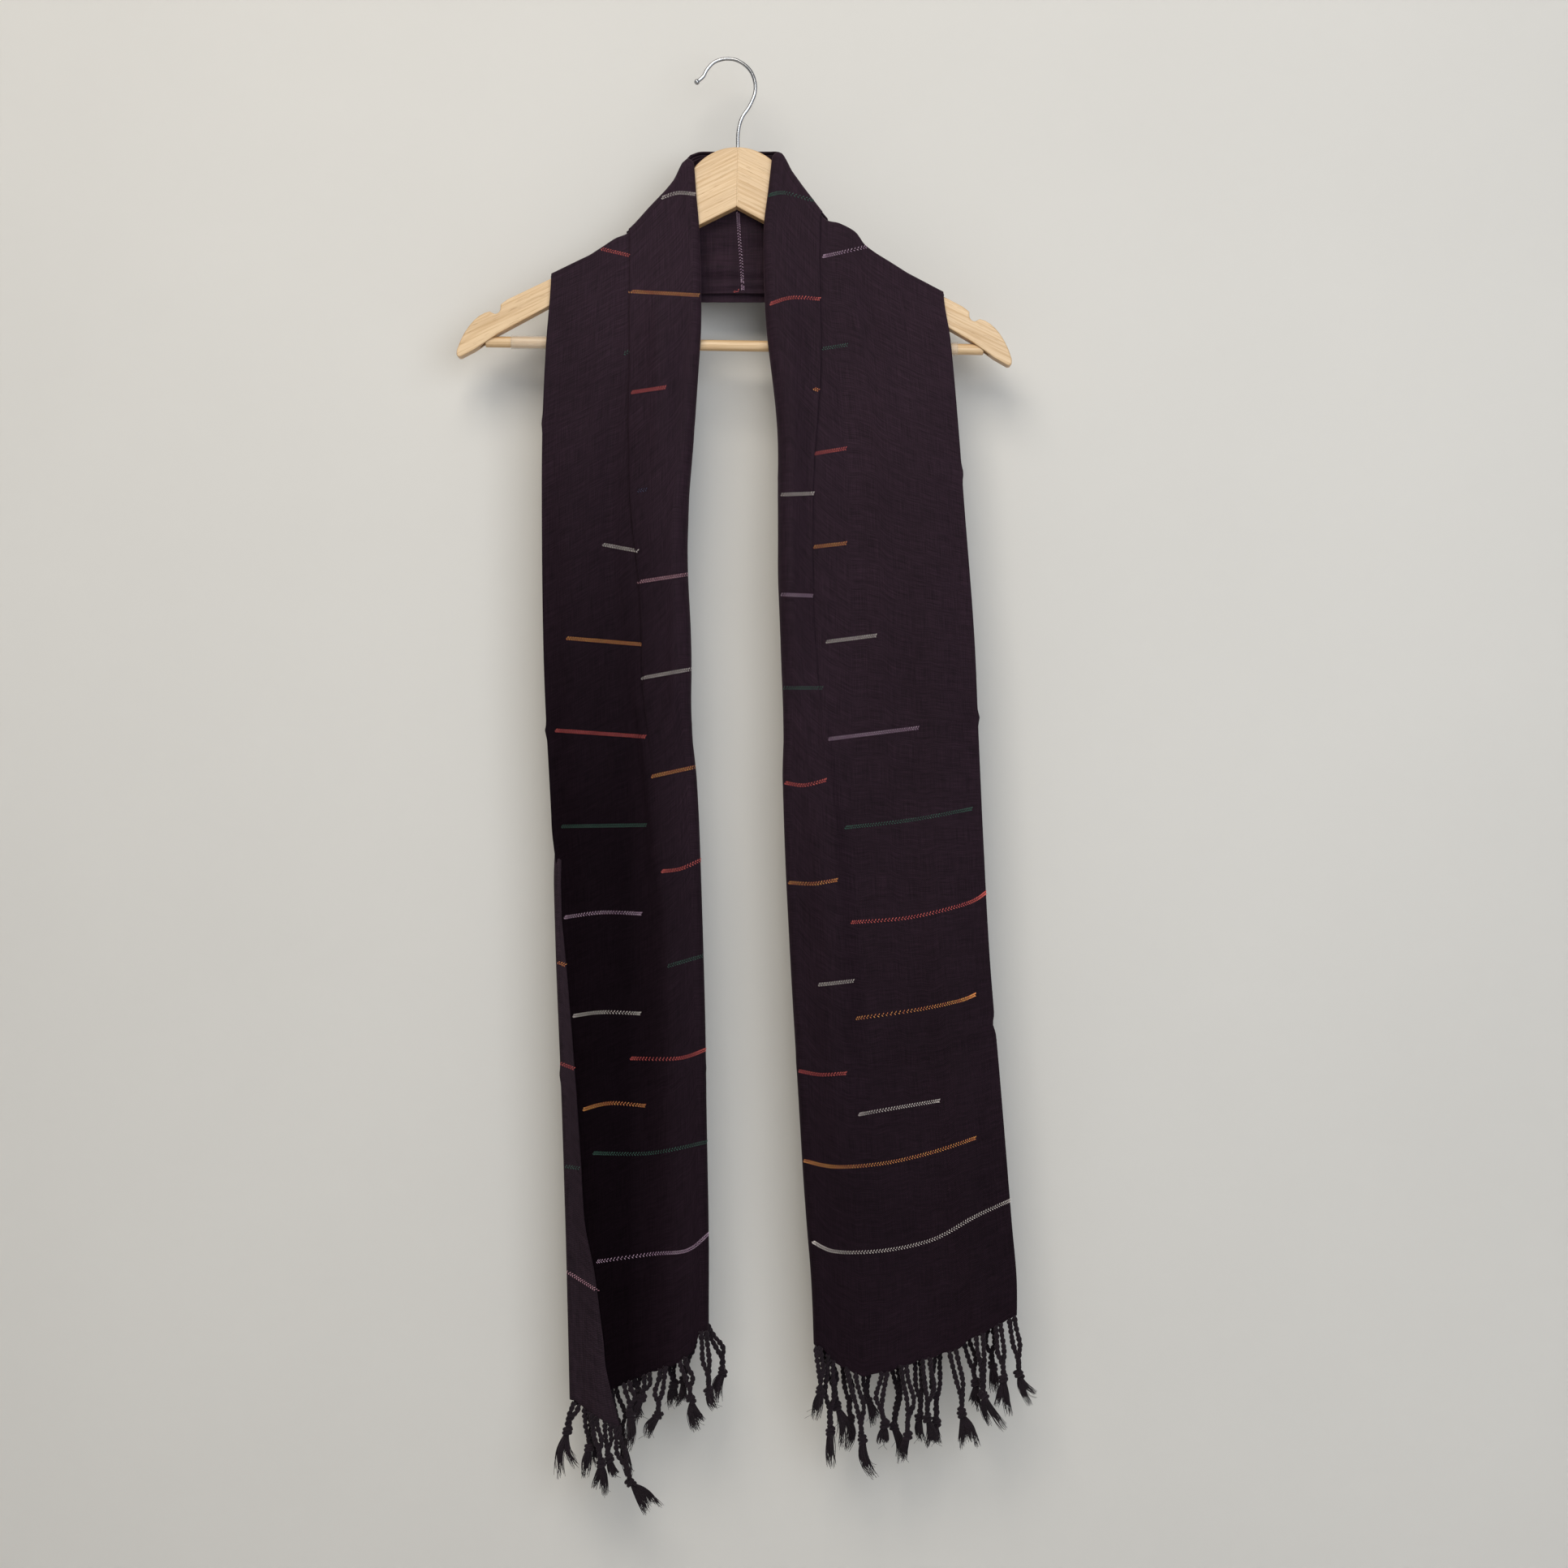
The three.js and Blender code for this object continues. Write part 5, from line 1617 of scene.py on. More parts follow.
    def joint_strip(
        self, name: str, half_size: tuple[float, float], finish: bpy.types.Material
    ) -> None:
        """Adds one upright strip in the mitred joint between the two arms.

        Args:
            name: the piece's name.
            half_size: half its width and half its depth, in millimetres.
            finish: its material.
        """
        half_width, half_depth = half_size
        upper, lower = self.joint_top, self.joint_foot
        bm = bmesh.new()
        size = Matrix.Diagonal((2 * half_width, 2 * half_depth, upper - lower, 1))
        place = Matrix.Translation((0, 0, (upper + lower) / 2))
        bmesh.ops.create_cube(bm, size=1.0, matrix=self.hung() @ place @ size)
        mesh = mesh_of(name, bm)
        hand_over(make_object(name, mesh, finish), Slot.BEECH)

    def glue_line(self) -> None:
        """Fills the joint: wood up to the arms' faces, and the thin line of glue in its middle."""
        self.joint_strip("joint_wood", self.joint_fill, self.finishes.beech_left)
        self.joint_strip("glue_line", self.glue_size, self.finishes.glue)

    def build(self) -> None:
        """Builds and dresses the whole hanger."""
        self.arms()
        self.glue_line()
        self.bar()
        self.sleeves()
        self.hook()


# ---- the cloth --------------------------------------------------------------------------------


@dataclass
class Stole:
    """The one length of cloth, in the stretches that show."""

    finishes: Finishes
    neck: NeckBack = field(default_factory=NeckBack)
    flap: TurnedFlap = field(default_factory=lambda: TurnedFlap(LEFT))
    shells: dict[str, bpy.types.Object] = field(default_factory=dict)

    def add(self, shell: ClothShell, material: bpy.types.Material, slot: Slot, node: str) -> None:
        """Builds a shell in place of its node."""
        piece = shell.make(material)
        hand_over(piece, slot, node)
        self.shells[shell.name] = piece

    def ends(self) -> None:
        """Builds the two hanging ends."""
        across = (
            steps(62, 0, SECTION_FRONT)
            + steps(12, SECTION_FRONT, SECTION_FOLD)[1:]
            + steps(30, SECTION_FOLD, 1)[1:]
        )
        down = steps(10, 0, BEND) + steps(236, BEND, 1)[1:]
        for name, end, cut in (("left", LEFT, (0.235, 0.95)), ("right", RIGHT, (0.32, 0.92))):
            shell = ClothShell(f"hanging_end_{name}", end.face, across, down, end.side, cut)
            self.add(shell, self.finishes.twill, Slot.TWILL, f"stole_end_{name}")

    def rolls(self) -> None:
        """Builds the collar's turned edge on both sides."""
        bent = BEND / LEFT.roll_share(1)
        down = steps(10, 0, bent) + steps(130, bent, 1)[1:]
        for name, end, cut in (("left", LEFT, (0.068, 0.49)), ("right", RIGHT, (0.055, 0.49))):
            shell = ClothShell(
                f"collar_edge_{name}", end.roll_surface, steps(30), down, end.side, cut, ROLL_CLOTH
            )
            self.add(shell, self.finishes.twill, Slot.TWILL, f"collar_roll_{name}")

    def turned_flap(self) -> None:
        """Builds the flap that shows the reverse of the cloth."""
        back, fold = self.flap.back_share, self.flap.fold_share
        across = steps(3, 0, back) + steps(10, back, fold)[1:] + steps(24, fold, 1)[1:]
        shell = ClothShell("turned_flap", self.flap.face, across, steps(190), -1, (0.030, 0.57))
        self.add(shell, self.finishes.reverse, Slot.REVERSE, "turned_flap_left")

    def neck_columns(self, start: float, end: float) -> list[float]:
        """Returns shares across the neck, closer where the cloth leaves the arms."""
        neck = self.neck
        xs = (
            steps(24, start, neck.left - neck.ease)
            + steps(8, neck.left - neck.ease, neck.left)[1:]
            + steps(24, neck.left, neck.right)[1:]
            + steps(8, neck.right, neck.right + neck.ease)[1:]
            + steps(24, neck.right + neck.ease, end)[1:]
        )
        return [(x - start) / (end - start) for x in xs]

    def neck_layers(self) -> None:
        """Builds the two layers behind the neck and the collar turned over them."""
        neck = self.neck
        columns = self.neck_columns(neck.left_end, neck.right_end)
        rows = steps(8, 0, neck.bend) + steps(54, neck.bend, 1)[1:]
        layers = (("inner", neck.inner_face()), ("outer", neck.outer_face()))
        for name, face in layers:
            shell = ClothShell(
                f"neck_band_{name}", face, columns, rows, 1, (0.33, 0.085), weft_down=True
            )
            self.add(shell, self.finishes.twill, Slot.TWILL, f"neck_back_{name}")
        columns = self.neck_columns(LEFT.roll(ROLL.top), RIGHT.roll(ROLL.top))
        shell = ClothShell(
            "turned_collar",
            neck.collar_face(),
            columns,
            steps(34),
            1,
            (0.17, 0.05),
            ROLL_CLOTH,
            weft_down=True,
        )
        self.add(shell, self.finishes.twill, Slot.TWILL, "collar_back")

    def build(self) -> None:
        """Builds every stretch of the cloth."""
        self.ends()
        self.rolls()
        self.turned_flap()
        self.neck_layers()

    def surface(self) -> BVHTree:
        """Returns the outer faces of all the cloth, to lay the stripes on."""
        places: list[Vector] = []
        faces: list[list[int]] = []
        for piece in self.shells.values():
            first = len(places)
            places.extend(vert.co.copy() for vert in piece.data.vertices)
            faces.extend([first + i for i in polygon.vertices] for polygon in piece.data.polygons)
        return BVHTree.FromPolygons(places, faces)

    def declare(self, extras: dict[str, list[bpy.types.Object]]) -> None:
        """Lists each stretch of cloth with its cut size, how it is held and what lies under it; it declares
        nothing and keeps nothing.
        """
        arms = ["hanger_arm_left", "hanger_arm_right"]
        sheets = (
            ("hanging_end_left", (0.235, 0.95), "draped", arms[:1]),
            ("hanging_end_right", (0.32, 0.92), "draped", arms[1:]),
            ("collar_edge_left", (0.068, 0.49), "folded", ["hanging_end_left"]),
            ("collar_edge_right", (0.055, 0.49), "folded", ["hanging_end_right"]),
            ("turned_flap", (0.030, 0.57), "folded", ["hanging_end_left"]),
            ("neck_band_inner", (0.33, 0.085), "draped", arms),
            ("neck_band_outer", (0.33, 0.085), "draped", ["neck_band_inner"]),
            ("turned_collar", (0.17, 0.05), "folded", ["neck_band_outer"]),
        )
        for name, cut, held, under in sheets:
            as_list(extras.get(name, []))


# ---- the stripes ------------------------------------------------------------------------------


class Yarn(Enum):
    """The stripe threads: two shades each, as their floats catch the light."""

    WHITE = ((0.86, 0.78, 0.74), (0.58, 0.52, 0.50))
    ORANGE = ((0.86, 0.38, 0.10), (0.66, 0.18, 0.07))
    CORAL = ((0.80, 0.15, 0.12), (0.56, 0.075, 0.085))
    PINK = ((0.70, 0.40, 0.47), (0.50, 0.22, 0.30))
    LILAC = ((0.60, 0.43, 0.56), (0.36, 0.21, 0.34))
    GREEN = ((0.036, 0.125, 0.088), (0.020, 0.066, 0.050))
    BLUE = ((0.028, 0.036, 0.095), (0.018, 0.022, 0.055))


class Dash(NamedTuple):
    """A woven dash: its thread and the places it runs through, seen from the viewer."""

    yarn: Yarn
    places: tuple[tuple[float, float], ...]


FRONT_DASHES = (
    Dash(Yarn.WHITE, ((-53, -110), (-40, -106), (-27, -107))),
    Dash(Yarn.ORANGE, ((-79, -185), (-24, -188))),
    Dash(Yarn.CORAL, ((-77, -266), (-51, -262))),
    Dash(Yarn.BLUE, ((-72, -345), (-66, -344))),
    Dash(Yarn.PINK, ((-72, -418), (-33, -412))),
    Dash(Yarn.WHITE, ((-69, -495), (-30, -488))),
    Dash(Yarn.ORANGE, ((-61, -574), (-25, -566))),
    Dash(Yarn.CORAL, ((-53, -650), (-38, -648), (-22, -641))),
    Dash(Yarn.GREEN, ((-48, -726), (-21, -718))),
    Dash(Yarn.CORAL, ((-78, -800), (-40, -800), (-18, -793))),
    Dash(Yarn.GREEN, ((-108, -876), (-62, -876), (-17, -867))),
    Dash(Yarn.LILAC, ((-105, -963), (-62, -957), (-33, -954), (-16, -941))),
    Dash(Yarn.CORAL, ((-101, -151), (-80, -156))),
    Dash(Yarn.GREEN, ((-83, -235), (-79, -233))),
    Dash(Yarn.WHITE, ((-100, -388), (-73, -393))),
    Dash(Yarn.ORANGE, ((-129, -463), (-70, -468))),
    Dash(Yarn.CORAL, ((-138, -537), (-67, -542))),
    Dash(Yarn.GREEN, ((-133, -614), (-66, -613))),
    Dash(Yarn.LILAC, ((-131, -687), (-101, -683), (-70, -684))),
    Dash(Yarn.WHITE, ((-124, -766), (-101, -763), (-71, -764))),
    Dash(Yarn.ORANGE, ((-116, -841), (-95, -836), (-67, -838))),
    Dash(Yarn.ORANGE, ((-136, -723), (-131, -725))),
    Dash(Yarn.CORAL, ((-134, -804), (-124, -808))),
    Dash(Yarn.GREEN, ((-134, -886), (-120, -888))),
    Dash(Yarn.PINK, ((-129, -971), (-105, -986))),
    Dash(Yarn.GREEN, ((33, -108), (45, -106), (68, -112))),
    Dash(Yarn.CORAL, ((34, -195), (51, -190), (73, -191))),
    Dash(Yarn.ORANGE, ((69, -263), (72, -264))),
    Dash(Yarn.WHITE, ((43, -348), (68, -347))),
    Dash(Yarn.LILAC, ((43, -428), (67, -429))),
    Dash(Yarn.GREEN, ((45, -503), (75, -503))),
    Dash(Yarn.CORAL, ((46, -579), (61, -581), (78, -577))),
    Dash(Yarn.ORANGE, ((49, -659), (68, -660), (87, -657))),
    Dash(Yarn.WHITE, ((73, -741), (100, -738))),
    Dash(Yarn.CORAL, ((57, -810), (74, -813), (94, -812))),
    Dash(Yarn.ORANGE, ((61, -882), (87, -887), (126, -884), (165, -875), (198, -864))),
    Dash(Yarn.WHITE, ((68, -947), (87, -955), (126, -954), (165, -945), (198, -927), (226, -914))),
    Dash(Yarn.LILAC, ((76, -157), (90, -154), (112, -149))),
    Dash(Yarn.GREEN, ((76, -231), (95, -228))),
    Dash(Yarn.CORAL, ((70, -315), (94, -311))),
    Dash(Yarn.ORANGE, ((69, -390), (94, -387))),
    Dash(Yarn.WHITE, ((79, -466), (118, -461))),
    Dash(Yarn.LILAC, ((81, -544), (152, -535))),
    Dash(Yarn.GREEN, ((94, -615), (146, -609), (195, -600))),
    Dash(Yarn.CORAL, ((99, -691), (146, -687), (191, -676), (207, -667))),
    Dash(Yarn.ORANGE, ((103, -768), (152, -761), (185, -754), (198, -749))),
    Dash(Yarn.WHITE, ((105, -845), (139, -839), (169, -834))),
    Dash(Yarn.LILAC, ((8, -122), (9, -140), (11, -166), (12, -183))),
    Dash(Yarn.CORAL, ((5, -186), (8, -185))),
)


@dataclass
class Stripes:
    """The woven dashes: two rows of slanting floats laid on the cloth."""

    finish: bpy.types.Material
    surface: BVHTree
    eye: Vector
    pitch: float = 1.9
    row: float = 0.78
    slant: float = math.radians(50)
    half_length: float = 1.0
    half_width: float = 0.27
    half_height: float = 0.2
    seed: int = 11
    floats: list[tuple[Matrix, tuple[float, float, float]]] = field(default_factory=list)

    def trace(self, dash: Dash, eye: Vector) -> list[tuple[Vector, Vector]]:
        """Returns evenly spaced places and normals where a dash lies on the cloth.

        Args:
            dash: the dash.
            eye: where it is seen from, in metres.
        """
        flat = [Vector((x, 0, z)) * MM for x, z in dash.places]
        length = sum((b - a).length for a, b in zip(flat, flat[1:]))
        count = max(2, round(length / (self.pitch * MM)))
        hits = []
        if len(flat) > 2:
            path = smooth_path(flat, count)
        else:
            path = [flat[0].lerp(flat[1], t) for t in steps(count)]
        for place in path:
            way = (place - eye).normalized()
            hit, normal, _, _ = self.surface.ray_cast(eye, way)
            if hit is None:
                continue
            if normal.dot(way) > 0:
                normal = -normal
            hits.append((hit, normal))
        return hits

    def sew(self, dash: Dash, eye: Vector, rng: random.Random, under: float = 0.0) -> None:
        """Adds the floats of one dash.

        Args:
            dash: the dash.
            eye: where it is seen from, in metres.
            rng: the source of its unevenness.
            under: how far the cloth's visible side lies in front of its face, in millimetres.
        """
        hits = self.trace(dash, eye)
        for i, (place, normal) in enumerate(hits):
            ahead = hits[min(len(hits) - 1, i + 1)][0] - hits[max(0, i - 1)][0]
            if not 0 < ahead.length < 4 * self.pitch * MM:
                continue
            along = (ahead - normal * ahead.dot(normal)).normalized()
            across = normal.cross(along)
            for row in (-1, 1):
                slant = row * self.slant + rng.uniform(-0.12, 0.12)
                lay = along * math.cos(slant) + across * math.sin(slant)
                side = normal.cross(lay)
                size = (self.half_length, self.half_width, self.half_height)
                axes = [
                    axis * size[k] * MM * rng.uniform(0.9, 1.08)
                    for k, axis in enumerate((lay, side, normal))
                ]
                turned = Matrix((axes[0], axes[1], axes[2])).transposed().to_4x4()
                shift = across * row * self.row * MM + along * (0.5 * self.pitch * MM if row > 0 else 0)
                turned.translation = place + shift + normal * (0.18 + under) * MM
                bright, dull = dash.yarn.value
                share = rng.random() ** 1.4
                colour = tuple(lerp(b, d, share) for b, d in zip(bright, dull))
                self.floats.append((turned, colour))

    def join(self, name: str) -> bpy.types.Object:
        """Joins copies of one float into a mesh that carries each float's colour."""
        bm = bmesh.new()
        bmesh.ops.create_uvsphere(bm, u_segments=6, v_segments=4, radius=1.0)
        single = bpy.data.meshes.new("one_float")
        bm.to_mesh(single)
        bm.free()
        base = np.array([vert.co for vert in single.vertices])
        loops = [list(polygon.vertices) for polygon in single.polygons]
        places, faces, colours = [], [], []
        for index, (turned, colour) in enumerate(self.floats):
            matrix = np.array(turned)
            places.append(base @ matrix[:3, :3].T + matrix[:3, 3])
            first = index * len(base)
            faces.extend([first + i for i in loop] for loop in loops)
            colours.extend([(*colour, 1.0)] * len(base))
        mesh = bpy.data.meshes.new(name)
        mesh.from_pydata(np.concatenate(places).tolist(), [], faces)
        tint = mesh.color_attributes.new("thread_colour", "FLOAT_COLOR", "POINT")
        tint.data.foreach_set("color", np.array(colours, np.float32).ravel())
        for polygon in mesh.polygons:
            polygon.use_smooth = True
        bpy.data.meshes.remove(single)
        self.floats = []
        return make_object(name, mesh, self.finish)

    def back_dashes(self) -> list[Dash]:
        """Returns the dashes of the hidden side, in the same rhythm as the front's."""
        threads = (Yarn.WHITE, Yarn.ORANGE, Yarn.CORAL, Yarn.GREEN, Yarn.LILAC)
        dashes = []
        columns = ((-130, -92, -300, 0), (-82, -50, -338, 2), (70, 110, -310, 3), (128, 180, -350, 1))
        for start, end, top, shift in columns:
            for k in range(9):
                z = top - 77 * k
                wide = 6 * math.sin(1.7 * k + shift)
                places = ((start - wide, z), ((start + end) / 2, z + 2), (end + wide, z + 5))
                dashes.append(Dash(threads[(k + shift) % len(threads)], places))
        for k, x in enumerate((-14, 30)):
            dashes.append(Dash(threads[k], ((x, -86), (x + 2, -116))))
        return dashes

    def build(self) -> dict[str, bpy.types.Object]:
        """Sews every dash and returns the pieces by the stretch of cloth that carries them."""
        rng = random.Random(self.seed)
        sides = {"left": lambda x: x < -10, "neck": lambda x: -10 <= x < 20, "right": lambda x: x >= 20}
        pieces = {}
        for side, holds in sides.items():
            for dash in FRONT_DASHES:
                if holds(dash.places[0][0]):
                    self.sew(dash, self.eye, rng, CLOTH if side == "neck" else 0.0)
            pieces[side] = self.join(f"woven_dashes_{side}")
        behind = Vector((self.eye.x, -self.eye.y, self.eye.z))
        for dash in self.back_dashes():
            self.sew(dash, behind, rng)
        pieces["back"] = self.join("woven_dashes_back")
        for piece in pieces.values():
            hand_over(piece, Slot.STRIPE)
        return pieces


# ---- the fringe -------------------------------------------------------------------------------


class TuftStyle(Enum):
    """How a tuft has frayed."""

    CLOSED = "closed"
    FORKED = "forked"
    FANNED = "fanned"


@dataclass
class Fringe:
    """Tassels of one hem: pairs of two-ply cords, a knot, and a frayed tuft.

    Args:
        name: the piece's name.
        node: the node it stands for.
        tassels: the table of its tassels.
        hem: gives the hem's depth and height at x, in millimetres.
        seed: fixes its unevenness.
    """

    name: str
    node: str
    tassels: Sequence[Tassel]
    hem: Callable[[float], tuple[float, float]]
    seed: int
    ply: float = 1.2
    twist: float = 8.4
    lane: float = 2.3
    closed: float = 3.4
    forked: float = 2.6
    branch: float = 2.1
    fanned: float = 1.7
    splay: float = 0.18
    swings: tuple[float, ...] = (-0.26, -0.09, 0.08, 0.22)
    lock_hairs: int = 30
    strands: list[Strand] = field(default_factory=list)
    hairs: list[Strand] = field(default_factory=list)

    def cord(self, places: Sequence[Vector], rng: random.Random) -> None:
        """Twists two plies along a path."""
        length = sum((b - a).length for a, b in zip(places, places[1:]))
        path = smooth_path(list(places), max(16, round(length / 0.95)))
        phase = rng.uniform(0, math.tau)
        walked = 0.0
        plies: tuple[list[Vector], list[Vector]] = ([], [])
        radii = []
        for i, place in enumerate(path):
            ahead = path[min(len(path) - 1, i + 1)] - path[max(0, i - 1)]
            along = ahead.normalized()
            right = Vector((0, -1, 0)).cross(along).normalized()
            up = along.cross(right)
            if i:
                walked += (place - path[i - 1]).length
            turn = phase + math.tau * walked / self.twist
            swell = 1 + 0.10 * math.sin(walked * 0.9 + phase) + 0.06 * math.sin(walked * 0.37)
            out = (right * math.cos(turn) + up * math.sin(turn)) * self.ply * 0.86 * swell
            plies[0].append((place + out) * MM)
            plies[1].append((place - out) * MM)
            radii.append(self.ply * swell * MM)
        self.strands.append(Strand(plies[0], radii))
        self.strands.append(Strand(plies[1], list(radii)))

    def knot(self, place: Vector, along: Vector, rng: random.Random) -> None:
        """Wraps an overhand knot round the joined cords."""
        right = Vector((0, -1, 0)).cross(along).normalized()
        up = along.cross(right)
        lean = rng.uniform(-0.5, 0.5)
        loop = []
        for share in steps(26):
            turn = math.tau * (1.9 * share + lean)
            radius = 2.3 + 0.6 * math.sin(3 * turn)
            out = (right * math.cos(turn) + up * math.sin(turn)) * radius
            loop.append((place + out + along * lerp(-2.6, 3.2, share)) * MM)
        self.strands.append(Strand(loop, [1.65 * MM] * len(loop)))

    def lock(self, start: Vector, tip: Vector, thick: float, splay: float, rng: random.Random) -> None:
        """Frays one lock of yarn from a knot to its tip."""
        length = (tip - start).length
        along = (tip - start).normalized()
        right = Vector((0, -1, 0)).cross(along).normalized()
        up = along.cross(right)
        bend = right * rng.uniform(-0.12, 0.12) * length
        core = [start + (tip - start) * 0.8 * t + bend * math.sin(math.pi * 0.8 * t) for t in steps(9)]
        swells = [math.sin(math.pi * min(1, 0.12 + 0.84 * t)) ** 0.8 for t in steps(9)]
        body = [thick * 0.72 * (0.45 + 0.75 * swell) for swell in swells]
        body[-1] = 0.2
        self.strands.append(Strand([p * MM for p in core], [r * MM for r in body]))
        for _ in range(self.lock_hairs):
            angle = rng.uniform(0, math.tau)
            spread = rng.uniform(0.55, 1.0)
            reach = rng.uniform(0.8, 1.22)
            flick = rng.uniform(-1, 1) * splay
            points = []
            for t in steps(7):
                swell = thick * (0.35 + 0.85 * math.sin(math.pi * min(1, 0.1 + 0.72 * t)))
                out = (right * math.cos(angle) + up * math.sin(angle)) * swell * spread
                drift_out = right * flick * t**2.5 * length * 0.5
                place = start + (tip - start) * t * reach + bend * math.sin(math.pi * t)
                points.append((place + out + drift_out) * MM)
            radii = [0.46 * MM * (1 - 0.72 * t) for t in steps(7)]
            self.hairs.append(Strand(points, radii))

    def stray(self, start: Vector, along: Vector, length: float, rng: random.Random) -> None:
        """Adds one stray hair that curls away."""
        right = Vector((0, -1, 0)).cross(along).normalized()
        curl = rng.uniform(-1.0, 1.0)
        points = []
        for t in steps(10):
            out = right * (curl * t * t * length * 0.6 + 0.8 * math.sin(6 * t + curl))
            points.append((start + along * length * t + out) * MM)
        self.hairs.append(Strand(points, [0.13 * MM] * len(points)))

    def tassel(self, tassel: Tassel, index: int, rng: random.Random) -> None:
        """Builds one tassel."""
        lane = self.lane if index % 2 else -self.lane
        hem_y, _ = self.hem(tassel.root)
        y = hem_y + lane
        knot = Vector((tassel.knot_x, y, tassel.knot_z))
        tip = Vector((tassel.tip_x, y + rng.uniform(-1.2, 1.2), tassel.tip_z))
        for half in (-1, 1):
            root_x = tassel.root + half * tassel.spread / 2
            root_y, root_z = self.hem(root_x)
            bow_x = lerp(root_x, tassel.knot_x, 0.5) + tassel.bow + half * 1.4
            mid_z = lerp(root_z, tassel.knot_z, 0.5)
            wobble = rng.uniform(-1.6, 1.6)
            low_x = lerp(bow_x, tassel.knot_x, 0.6) - half * 0.9 - 0.5 * wobble
            places = [
                Vector((root_x, root_y, root_z + 1.0)),
                Vector((lerp(root_x, bow_x, 0.35), lerp(root_y, y, 0.8), lerp(root_z, mid_z, 0.4))),
                Vector((bow_x + wobble, y, mid_z)),
                Vector((low_x, y, lerp(mid_z, tassel.knot_z, 0.55))),
                Vector((tassel.knot_x + half * 0.5, y, tassel.knot_z)),
            ]
            self.cord(places, rng)
        along = (tip - knot).normalized()
        self.knot(knot, along, rng)
        start = knot + along * 2.0
        style = rng.choice((TuftStyle.CLOSED, TuftStyle.CLOSED, TuftStyle.FORKED, TuftStyle.FANNED))
        side = Vector((0, -1, 0)).cross(along).normalized()
        length = (tip - start).length
        if style is TuftStyle.CLOSED:
            self.lock(start, tip, self.closed, self.splay, rng)
        elif style is TuftStyle.FORKED:
            self.lock(start, tip, self.forked, self.splay, rng)
            fork = side * rng.choice((-1, 1)) * length * 0.3
            self.lock(start, start + along * length * 0.7 + fork, self.branch, self.splay, rng)
        else:
            for swing in self.swings:
                reach = length * rng.uniform(0.72, 1.0)
                end = start + along * reach + side * swing * reach
                self.lock(start, end, self.fanned, self.splay, rng)
        for _ in range(3):
            self.stray(knot + along * rng.uniform(4, 14), along, rng.uniform(6, 13), rng)

    def build(self, finish: bpy.types.Material) -> bpy.types.Object:
        """Builds every tassel of this hem and returns the piece."""
        rng = random.Random(self.seed)
        for index, tassel in enumerate(self.tassels):
            self.tassel(tassel, index, rng)
        bm = bmesh.new()
        for part, roundness in ((self.strands, 1), (self.hairs, 0)):
            mesh = strands_mesh(self.name, part, roundness)
            bm.from_mesh(mesh)
            bpy.data.meshes.remove(mesh)
        for polygon in bm.faces:
            polygon.smooth = True
        mesh = mesh_of(self.name, bm)
        piece = make_object(self.name, mesh, finish)
        hand_over(piece, Slot.YARN, self.node)
        return piece


def hem_of(end: HangingEnd, front: bool) -> Callable[[float], tuple[float, float]]:
    """Returns the line of an end's hem, at the middle of its wall.

    Args:
        end: the hanging end.
        front: whether it is the front layer's hem.
    """
    outer = end.layer_point(front, 0, 1).x
    inner = end.layer_point(front, 1, 1).x

    def line(x: float) -> tuple[float, float]:
        """Returns the hem's depth and height at x."""
        f = min(1.0, max(0.0, (x - outer) / (inner - outer)))
        point = end.layer_point(front, f, 1)
        return point.y + (CLOTH / 2 if front else -CLOTH / 2), point.z

    return line


def hem_of_flap(flap: TurnedFlap) -> Callable[[float], tuple[float, float]]:
    """Returns the line of the flap's hem, at the middle of its wall."""

    def line(x: float) -> tuple[float, float]:
        """Returns the hem's depth and height at x."""
        z = flap.hem_z(x)
        return flap.front_y(x, z) + CLOTH / 2, z

    return line


# ---- the studio -------------------------------------------------------------------------------


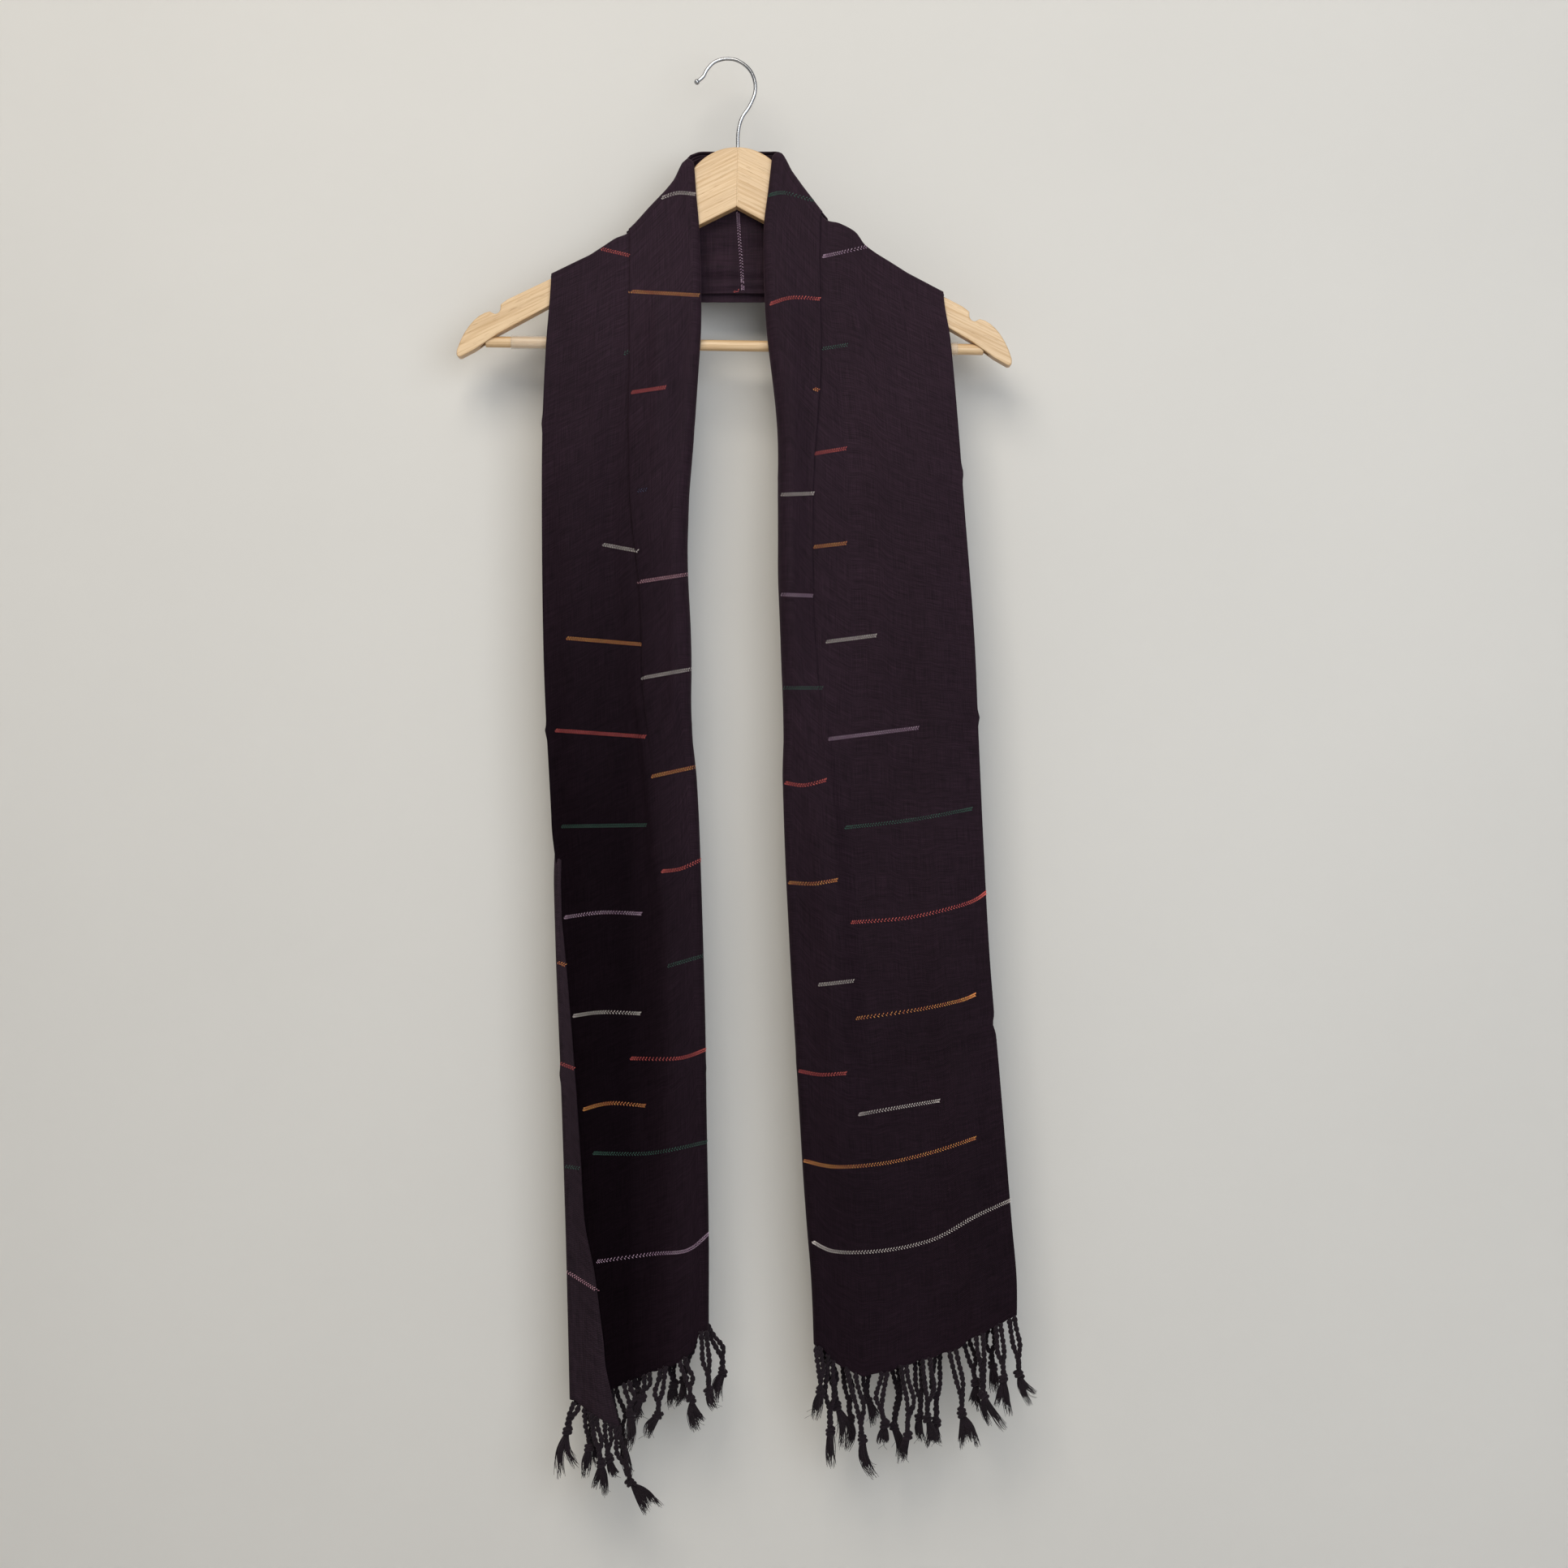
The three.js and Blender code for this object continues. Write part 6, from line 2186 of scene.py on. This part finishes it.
@dataclass
class Studio:
    """A pale wall and floor, soft lights, and the camera."""

    eye: Vector = field(default_factory=lambda: Vector((0.045, -2.0, -0.580)))
    view_angle: float = math.radians(34.9)
    wall_y: float = 0.05
    floor_z: float = -1.36
    wall_colour: tuple[float, float, float] = (0.70, 0.687, 0.66)

    def plane(
        self,
        name: str,
        corners: Sequence[tuple[float, float, float]],
        finish: bpy.types.Material,
    ) -> None:
        """Adds a flat stage piece through four corners."""
        bm = bmesh.new()
        bm.faces.new([bm.verts.new(place) for place in corners])
        mesh = mesh_of(name, bm)
        make_object(name, mesh, finish)

    def one_sided(self, material: bpy.types.Material) -> bpy.types.Material:
        """Lets a wall be looked through from behind and returns its finish."""
        tree = material.node_tree
        shader = next(node for node in tree.nodes if node.type == "BSDF_PRINCIPLED")
        output = next(node for node in tree.nodes if node.type == "OUTPUT_MATERIAL")
        clear = tree.nodes.new("ShaderNodeBsdfTransparent")
        mix = tree.nodes.new("ShaderNodeMixShader")
        geometry = tree.nodes.new("ShaderNodeNewGeometry")
        tree.links.new(geometry.outputs["Backfacing"], mix.inputs[0])
        tree.links.new(shader.outputs[0], mix.inputs[1])
        tree.links.new(clear.outputs[0], mix.inputs[2])
        tree.links.new(mix.outputs[0], output.inputs["Surface"])
        return material

    def light(
        self,
        name: str,
        place: tuple[float, float, float],
        size: float,
        power: float,
        colour: tuple[float, float, float],
    ) -> None:
        """Adds a soft square light that looks at the middle of the stole."""
        lamp = bpy.data.lights.new(name, "AREA")
        lamp.size = size
        lamp.energy = power
        lamp.color = colour
        holder = bpy.data.objects.new(name, lamp)
        holder.location = place
        aim = Vector((0.045, 0, -0.55)) - Vector(place)
        holder.rotation_euler = aim.to_track_quat("-Z", "Y").to_euler()
        bpy.context.scene.collection.objects.link(holder)

    def build(self) -> None:
        """Builds the stage, the lights and the camera."""
        wall = self.one_sided(PlasterFinish("pale wall", self.wall_colour).make())
        reach = 4.0
        y, z = self.wall_y, self.floor_z
        self.plane("wall", ((-reach, y, z), (reach, y, z), (reach, y, 2.5), (-reach, y, 2.5)), wall)
        floor = PlasterFinish("pale floor", self.wall_colour).make()
        corners = ((-reach, -reach, z), (reach, -reach, z), (reach, reach, z), (-reach, reach, z))
        self.plane("floor", corners, floor)
        self.light("key", (-0.45, -1.9, 1.2), 1.3, 36.5, (1.0, 0.93, 0.82))
        self.light("fill", (0.95, -2.4, -0.1), 1.7, 28.0, (0.89, 0.94, 1.0))
        self.light("behind", (-0.6, 2.2, 0.9), 1.8, 58.0, (1.0, 0.99, 0.97))
        world = bpy.data.worlds.new("soft daylight")
        bpy.context.scene.world = world
        world.use_nodes = True
        sky = next(node for node in world.node_tree.nodes if node.type == "BACKGROUND")
        sky.inputs["Color"].default_value = (0.90, 0.94, 1.0, 1.0)
        sky.inputs["Strength"].default_value = 0.21
        lens = bpy.data.cameras.new("camera")
        lens.sensor_width = 36.0
        lens.lens = lens.sensor_width / 2 / math.tan(self.view_angle / 2)
        camera = bpy.data.objects.new("camera", lens)
        camera.location = self.eye
        camera.rotation_euler = (math.pi / 2, 0, 0)
        bpy.context.scene.collection.objects.link(camera)
        bpy.context.scene.camera = camera
        bpy.context.scene.view_settings.view_transform = "Standard"


def main() -> None:
    """Builds the stole, its hanger and the studio."""
    logging.basicConfig(level=logging.INFO, format="%(name)s: %(message)s")
    studio = Studio()
    finishes = Finishes()
    Hanger(finishes).build()
    stole = Stole(finishes)
    stole.build()
    dashes = Stripes(finishes.stripe, stole.surface(), studio.eye).build()
    fringes = {}
    hems = (
        ("tassels_right_front", "fringe_right_front", RIGHT_FRONT_TASSELS, hem_of(RIGHT, True), 21),
        ("tassels_right_back", "fringe_right_back", RIGHT_BACK_TASSELS, hem_of(RIGHT, False), 22),
        ("tassels_flap", "fringe_left_flap", FLAP_TASSELS, hem_of_flap(stole.flap), 23),
        ("tassels_left_front", "fringe_left_front", LEFT_FRONT_TASSELS, hem_of(LEFT, True), 24),
        ("tassels_left_back", "fringe_left_back", LEFT_BACK_TASSELS, hem_of(LEFT, False), 25),
    )
    for name, node, tassels, hem, seed in hems:
        fringes[name] = Fringe(name, node, tassels, hem, seed).build(finishes.yarn)
    stole.declare(
        {
            "hanging_end_left": [
                dashes["left"],
                fringes["tassels_left_front"],
                fringes["tassels_left_back"],
            ],
            "hanging_end_right": [
                dashes["right"],
                fringes["tassels_right_front"],
                fringes["tassels_right_back"],
            ],
            "turned_flap": [fringes["tassels_flap"]],
            "neck_band_inner": [dashes["neck"]],
            "neck_band_outer": [dashes["back"]],
        }
    )
    studio.build()


if __name__ == "__main__":
    main()
